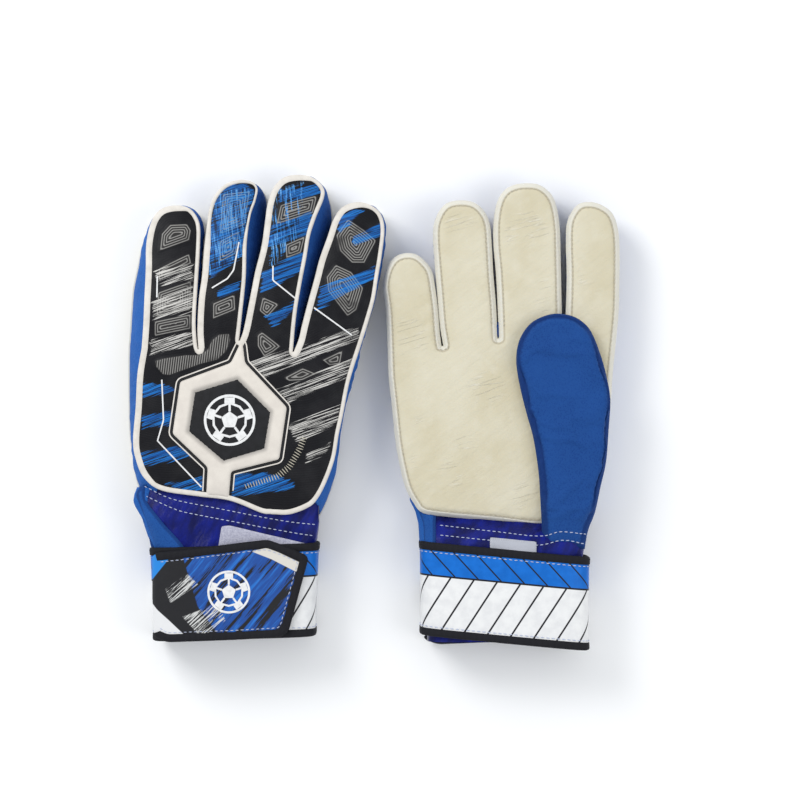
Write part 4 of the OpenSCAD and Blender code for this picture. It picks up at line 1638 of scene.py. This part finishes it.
def hook_tape():
    made, tree, shader = new_finish("hook_tape", 0.7)
    place = own_place(tree)
    hooks = node(tree, "ShaderNodeTexVoronoi")
    feed(tree, hooks.inputs["Vector"], place)
    hooks.inputs["Scale"].default_value = 0.8
    tips = ramp(tree, hooks.outputs["Distance"], 0.1, 0.6)
    base = mix(tree, tips, (0.05, 0.05, 0.055), (0.012, 0.012, 0.014))
    feed(tree, shader.inputs["Base Color"], base)
    feed(tree, shader.inputs["Normal"], bumped(tree, hooks.outputs["Distance"], 0.4))
    return made


patch_edge = [(-88.5, -65.5), (-84, -65), (-38, -76), (-38, -84), (-91.5, -84)]
label_edge = [(68, -71.8), (81, -73), (95, -74.3), (95, -82), (68, -81)]
LOOP, LABEL, HOOK = loop_pile(), woven_label(), hook_tape()
CUFFS_APART = 158.4
for side in GLOVES:
    small = {"loop_patch": (patch_edge, True, LOOP, {"left": 0.0, "right": CUFFS_APART}, "loop_pile"),
             "size_label": (label_edge, False, LABEL, {"left": -CUFFS_APART, "right": 0.0}, "label_weave")}
    for name, (corners, above, finish, shift, slot) in small.items():
        line = rounded_ring(np.array(corners) + [shift[side], 0], 1.0, 1.0)
        sign = 1 if above else -1
        piece = padded_sheet(f"{side}_{name}_cloth", side, None, line, line,
                             lambda xy, depth: (satin_height(side, xy, above)
                                                + sign * (1.1 + 0.3 * (depth > 0.6))),
                             lambda xy, depth: satin_height(side, xy, above) - sign * 0.3, finish)
        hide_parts(f"{side}_{name}")
        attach(piece, f"{side}_hand")
    patch = frame["nodes"][f"{side}_hook_patch"]
    patch.data.materials.clear()
    patch.data.materials.append(HOOK)

# ---------------------------------------------------------------- stitching and ladder hatch
# Every seam is machine sewn: white thread on the gaiter, strap and tab, cream thread just
# inside the edge of the latex. A short ladder of pale bars is printed on the back, below
# the badge. Each row is laid out along its line by one node tree.


def row_tree():
    tree = bpy.data.node_groups.new("row_of_marks", "GeometryNodeTree")
    face = tree.interface
    face.new_socket("Line", in_out="INPUT", socket_type="NodeSocketGeometry")
    for name, value in (("Pitch", 0.003), ("Long", 0.002), ("Wide", 0.0005), ("Tall", 0.0004)):
        socket = face.new_socket(name, in_out="INPUT", socket_type="NodeSocketFloat")
        socket.default_value = value
    face.new_socket("Finish", in_out="INPUT", socket_type="NodeSocketMaterial")
    face.new_socket("Row", in_out="OUTPUT", socket_type="NodeSocketGeometry")
    given, result = node(tree, "NodeGroupInput"), node(tree, "NodeGroupOutput")
    curve = node(tree, "GeometryNodeMeshToCurve")
    spaced = node(tree, "GeometryNodeResampleCurve", mode="LENGTH")
    mark = node(tree, "GeometryNodeMeshIcoSphere")
    mark.inputs["Radius"].default_value = 0.5
    mark.inputs["Subdivisions"].default_value = 2
    ahead = node(tree, "GeometryNodeInputTangent")
    aim = node(tree, "FunctionNodeAlignRotationToVector", axis="X")
    sway = node(tree, "FunctionNodeRandomValue", data_type="FLOAT")
    sway.inputs[2].default_value = -0.09
    sway.inputs[3].default_value = 0.09
    sway.inputs["Seed"].default_value = 7
    turn = node(tree, "ShaderNodeCombineXYZ")
    turned = node(tree, "FunctionNodeRotateRotation", rotation_space="LOCAL")
    as_turn = node(tree, "FunctionNodeEulerToRotation")
    size = node(tree, "ShaderNodeCombineXYZ")
    placed = node(tree, "GeometryNodeInstanceOnPoints")
    real = node(tree, "GeometryNodeRealizeInstances")
    painted = node(tree, "GeometryNodeSetMaterial")
    link = tree.links.new
    link(given.outputs["Line"], curve.inputs["Mesh"])
    link(curve.outputs["Curve"], spaced.inputs["Curve"])
    link(given.outputs["Pitch"], spaced.inputs["Length"])
    link(ahead.outputs["Tangent"], aim.inputs["Vector"])
    link(sway.outputs[1], turn.inputs["Z"])
    link(turn.outputs[0], as_turn.inputs[0])
    link(aim.outputs["Rotation"], turned.inputs["Rotation"])
    link(as_turn.outputs[0], turned.inputs["Rotate By"])
    for source, target in (("Long", "X"), ("Wide", "Y"), ("Tall", "Z")):
        link(given.outputs[source], size.inputs[target])
    link(spaced.outputs["Curve"], placed.inputs["Points"])
    link(mark.outputs["Mesh"], placed.inputs["Instance"])
    link(turned.outputs[0], placed.inputs["Rotation"])
    link(size.outputs[0], placed.inputs["Scale"])
    link(placed.outputs["Instances"], real.inputs["Geometry"])
    link(real.outputs["Geometry"], painted.inputs["Geometry"])
    link(given.outputs["Finish"], painted.inputs["Material"])
    link(painted.outputs["Geometry"], result.inputs["Row"])
    return tree


ROW_TREE = row_tree()


def sewn(name, lines, pitch, size, finish):
    """A plain mesh of marks along lines of points in metres."""
    points = np.vstack(lines)
    edges, base = [], 0
    for line in lines:
        edges += [(base + i, base + i + 1) for i in range(len(line) - 1)]
        base += len(line)
    data = bpy.data.meshes.new(name + "_line")
    data.from_pydata([tuple(p) for p in points], edges, [])
    guide = bpy.data.objects.new(name + "_line", data)
    scene.collection.objects.link(guide)
    rows = guide.modifiers.new("rows", "NODES")
    rows.node_group = ROW_TREE
    given = dict(zip(("Pitch", "Long", "Wide", "Tall"), [v * MM for v in (pitch, *size)]), Finish=finish)
    for socket in ROW_TREE.interface.items_tree:
        if socket.in_out == "INPUT" and socket.name in given:
            rows[socket.identifier] = given[socket.name]
    guide.update_tag()
    bpy.context.view_layer.update()
    made = bpy.data.meshes.new_from_object(guide.evaluated_get(bpy.context.evaluated_depsgraph_get()))
    bpy.data.objects.remove(guide)
    made.name = name
    for face in made.polygons:
        face.use_smooth = True
    piece = bpy.data.objects.new(name, made)
    scene.collection.objects.link(piece)
    return piece


def thread(name, light, dark):
    made, tree, shader = new_finish(name, 0.7)
    place = own_place(tree)
    twist = node(tree, "ShaderNodeTexWave", wave_type="BANDS", bands_direction="DIAGONAL")
    feed(tree, twist.inputs["Vector"], place)
    twist.inputs["Scale"].default_value = 1.2
    feed(tree, shader.inputs["Base Color"], mix(tree, twist.outputs["Fac"], dark, light))
    feed(tree, shader.inputs["Normal"], bumped(tree, twist.outputs["Fac"], 0.08))
    return made


STRAP_SEAM_IN = 4.8
TAB_SEAM_IN = 4.7
HALF_STITCH = 0.27
WHITE_THREAD = thread("white_thread", (0.62, 0.66, 0.80), (0.40, 0.45, 0.62))
CREAM_THREAD = thread("cream_thread", (0.64, 0.60, 0.49), (0.46, 0.42, 0.32))

ladder_line = [(-40.5, -14), (-43, -21), (-49, -31), (-56, -36.5), (-74, -42.5)]
back_rows = [[(-133, -42.5), (-117.5, -49.5), (-93.5, -54.5), (-54.5, -62), (-35, -64.5)],
             [(-132.5, -48), (-120.5, -53.5), (-111, -57), (-93.5, -60.5), (-51.5, -68.5), (-36.5, -71)]]
palm_rows = [[(40, -65.3), (70, -68.5), (97, -71.2), (109, -68.5), (123.5, -70)],
             [(40, -70.8), (70, -73.7), (95.5, -76.3), (110.5, -73.5), (122, -75.5)]]
for side in GLOVES:
    shift = TAB_SHIFT[side][0]
    line = thumb_line(side)

    def back_sewing(corners):
        xy = smooth_line(np.array(corners, float) + [shift, 0], 1.0)
        return to_world(side, None, xy, satin_height(side, xy) + 0.3)

    def palm_sewing(corners):
        xy = smooth_line(np.array(corners, float) + [shift - TAB_SHIFT["right"][0], 0], 1.0)
        h = satin_height(side, xy, False) - 0.3
        over = inside(xy, line)
        h[over] = np.minimum(h, thumb_crown(xy, distance_to(xy, line, True)) - 0.2)[over]
        return to_world(side, None, xy, h)
    rows = [back_sewing(c) for c in back_rows] + [palm_sewing(c) for c in palm_rows]
    for down in (STRAP_SEAM_IN, STRAP_LONG - STRAP_SEAM_IN):
        row = strap_skin(side, np.append(ROUND, 2 * pi), down, 1.3)
        row[:, 2] = np.maximum(row[:, 2], HALF_STITCH * MM)
        rows.append(row)
    piece = sewn(f"{side}_cuff_stitching", rows, 3.1, (2.1, 0.55, 0.5), WHITE_THREAD)
    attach(piece, f"{side}_hand")
    line = rounded_ring(np.array(tab_edge) + TAB_SHIFT[side], 2.5)
    inner = line + away_from_edge(line) * TAB_SEAM_IN
    inner = inner[distance_to(inner, line, True) > TAB_SEAM_IN - 0.2]
    inner = opened(inner[:, 0] > inner[:, 0].min() + 0.8, inner)[0]
    on_tab = tab_top(side, inner, np.full(len(inner), TAB_SEAM_IN))
    row = to_world(side, None, inner, on_tab + 0.12)
    piece = sewn(f"{side}_tab_stitching", [row], 3.0, (2.0, 0.5, 0.4), WHITE_THREAD)
    peel_with(piece)

    def seam(run, finger):
        moved = run + segment_normals(run, PALM_RING[side]) * SEAM_IN
        moved = moved[distance_to(moved, PALM_RING[side], True) > SEAM_IN - 0.3]
        spread = latex_outside(moved, np.full(len(moved), SEAM_IN))
        return to_world(side, finger, moved, spread - 0.55)
    rows = [seam(run, None) for run in hand_runs(PALM_CUT[side], PALM_RUNS[side])]
    piece = sewn(f"{side}_palm_stitching", rows, 2.6, (1.7, 0.5, 0.45), CREAM_THREAD)
    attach(piece, f"{side}_hand")
    for finger in FINGERS:
        rows = [seam(PALM_CUT[side][1][finger][0], finger)]
        piece = sewn(f"{side}_{finger}_palm_stitching", rows, 2.6, (1.7, 0.5, 0.45), CREAM_THREAD)
        bend_with(piece, side, finger)
    xy = even(np.array(ladder_line) + PRINT_SHIFT[side], 0.8)
    row = to_world(side, None, xy, raised(side, None, xy) + 0.05)
    piece = sewn(f"{side}_ladder_print", [row], 1.6, (0.5, 4.2, 0.25), CREAM_THREAD)
    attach(piece, f"{side}_hand")
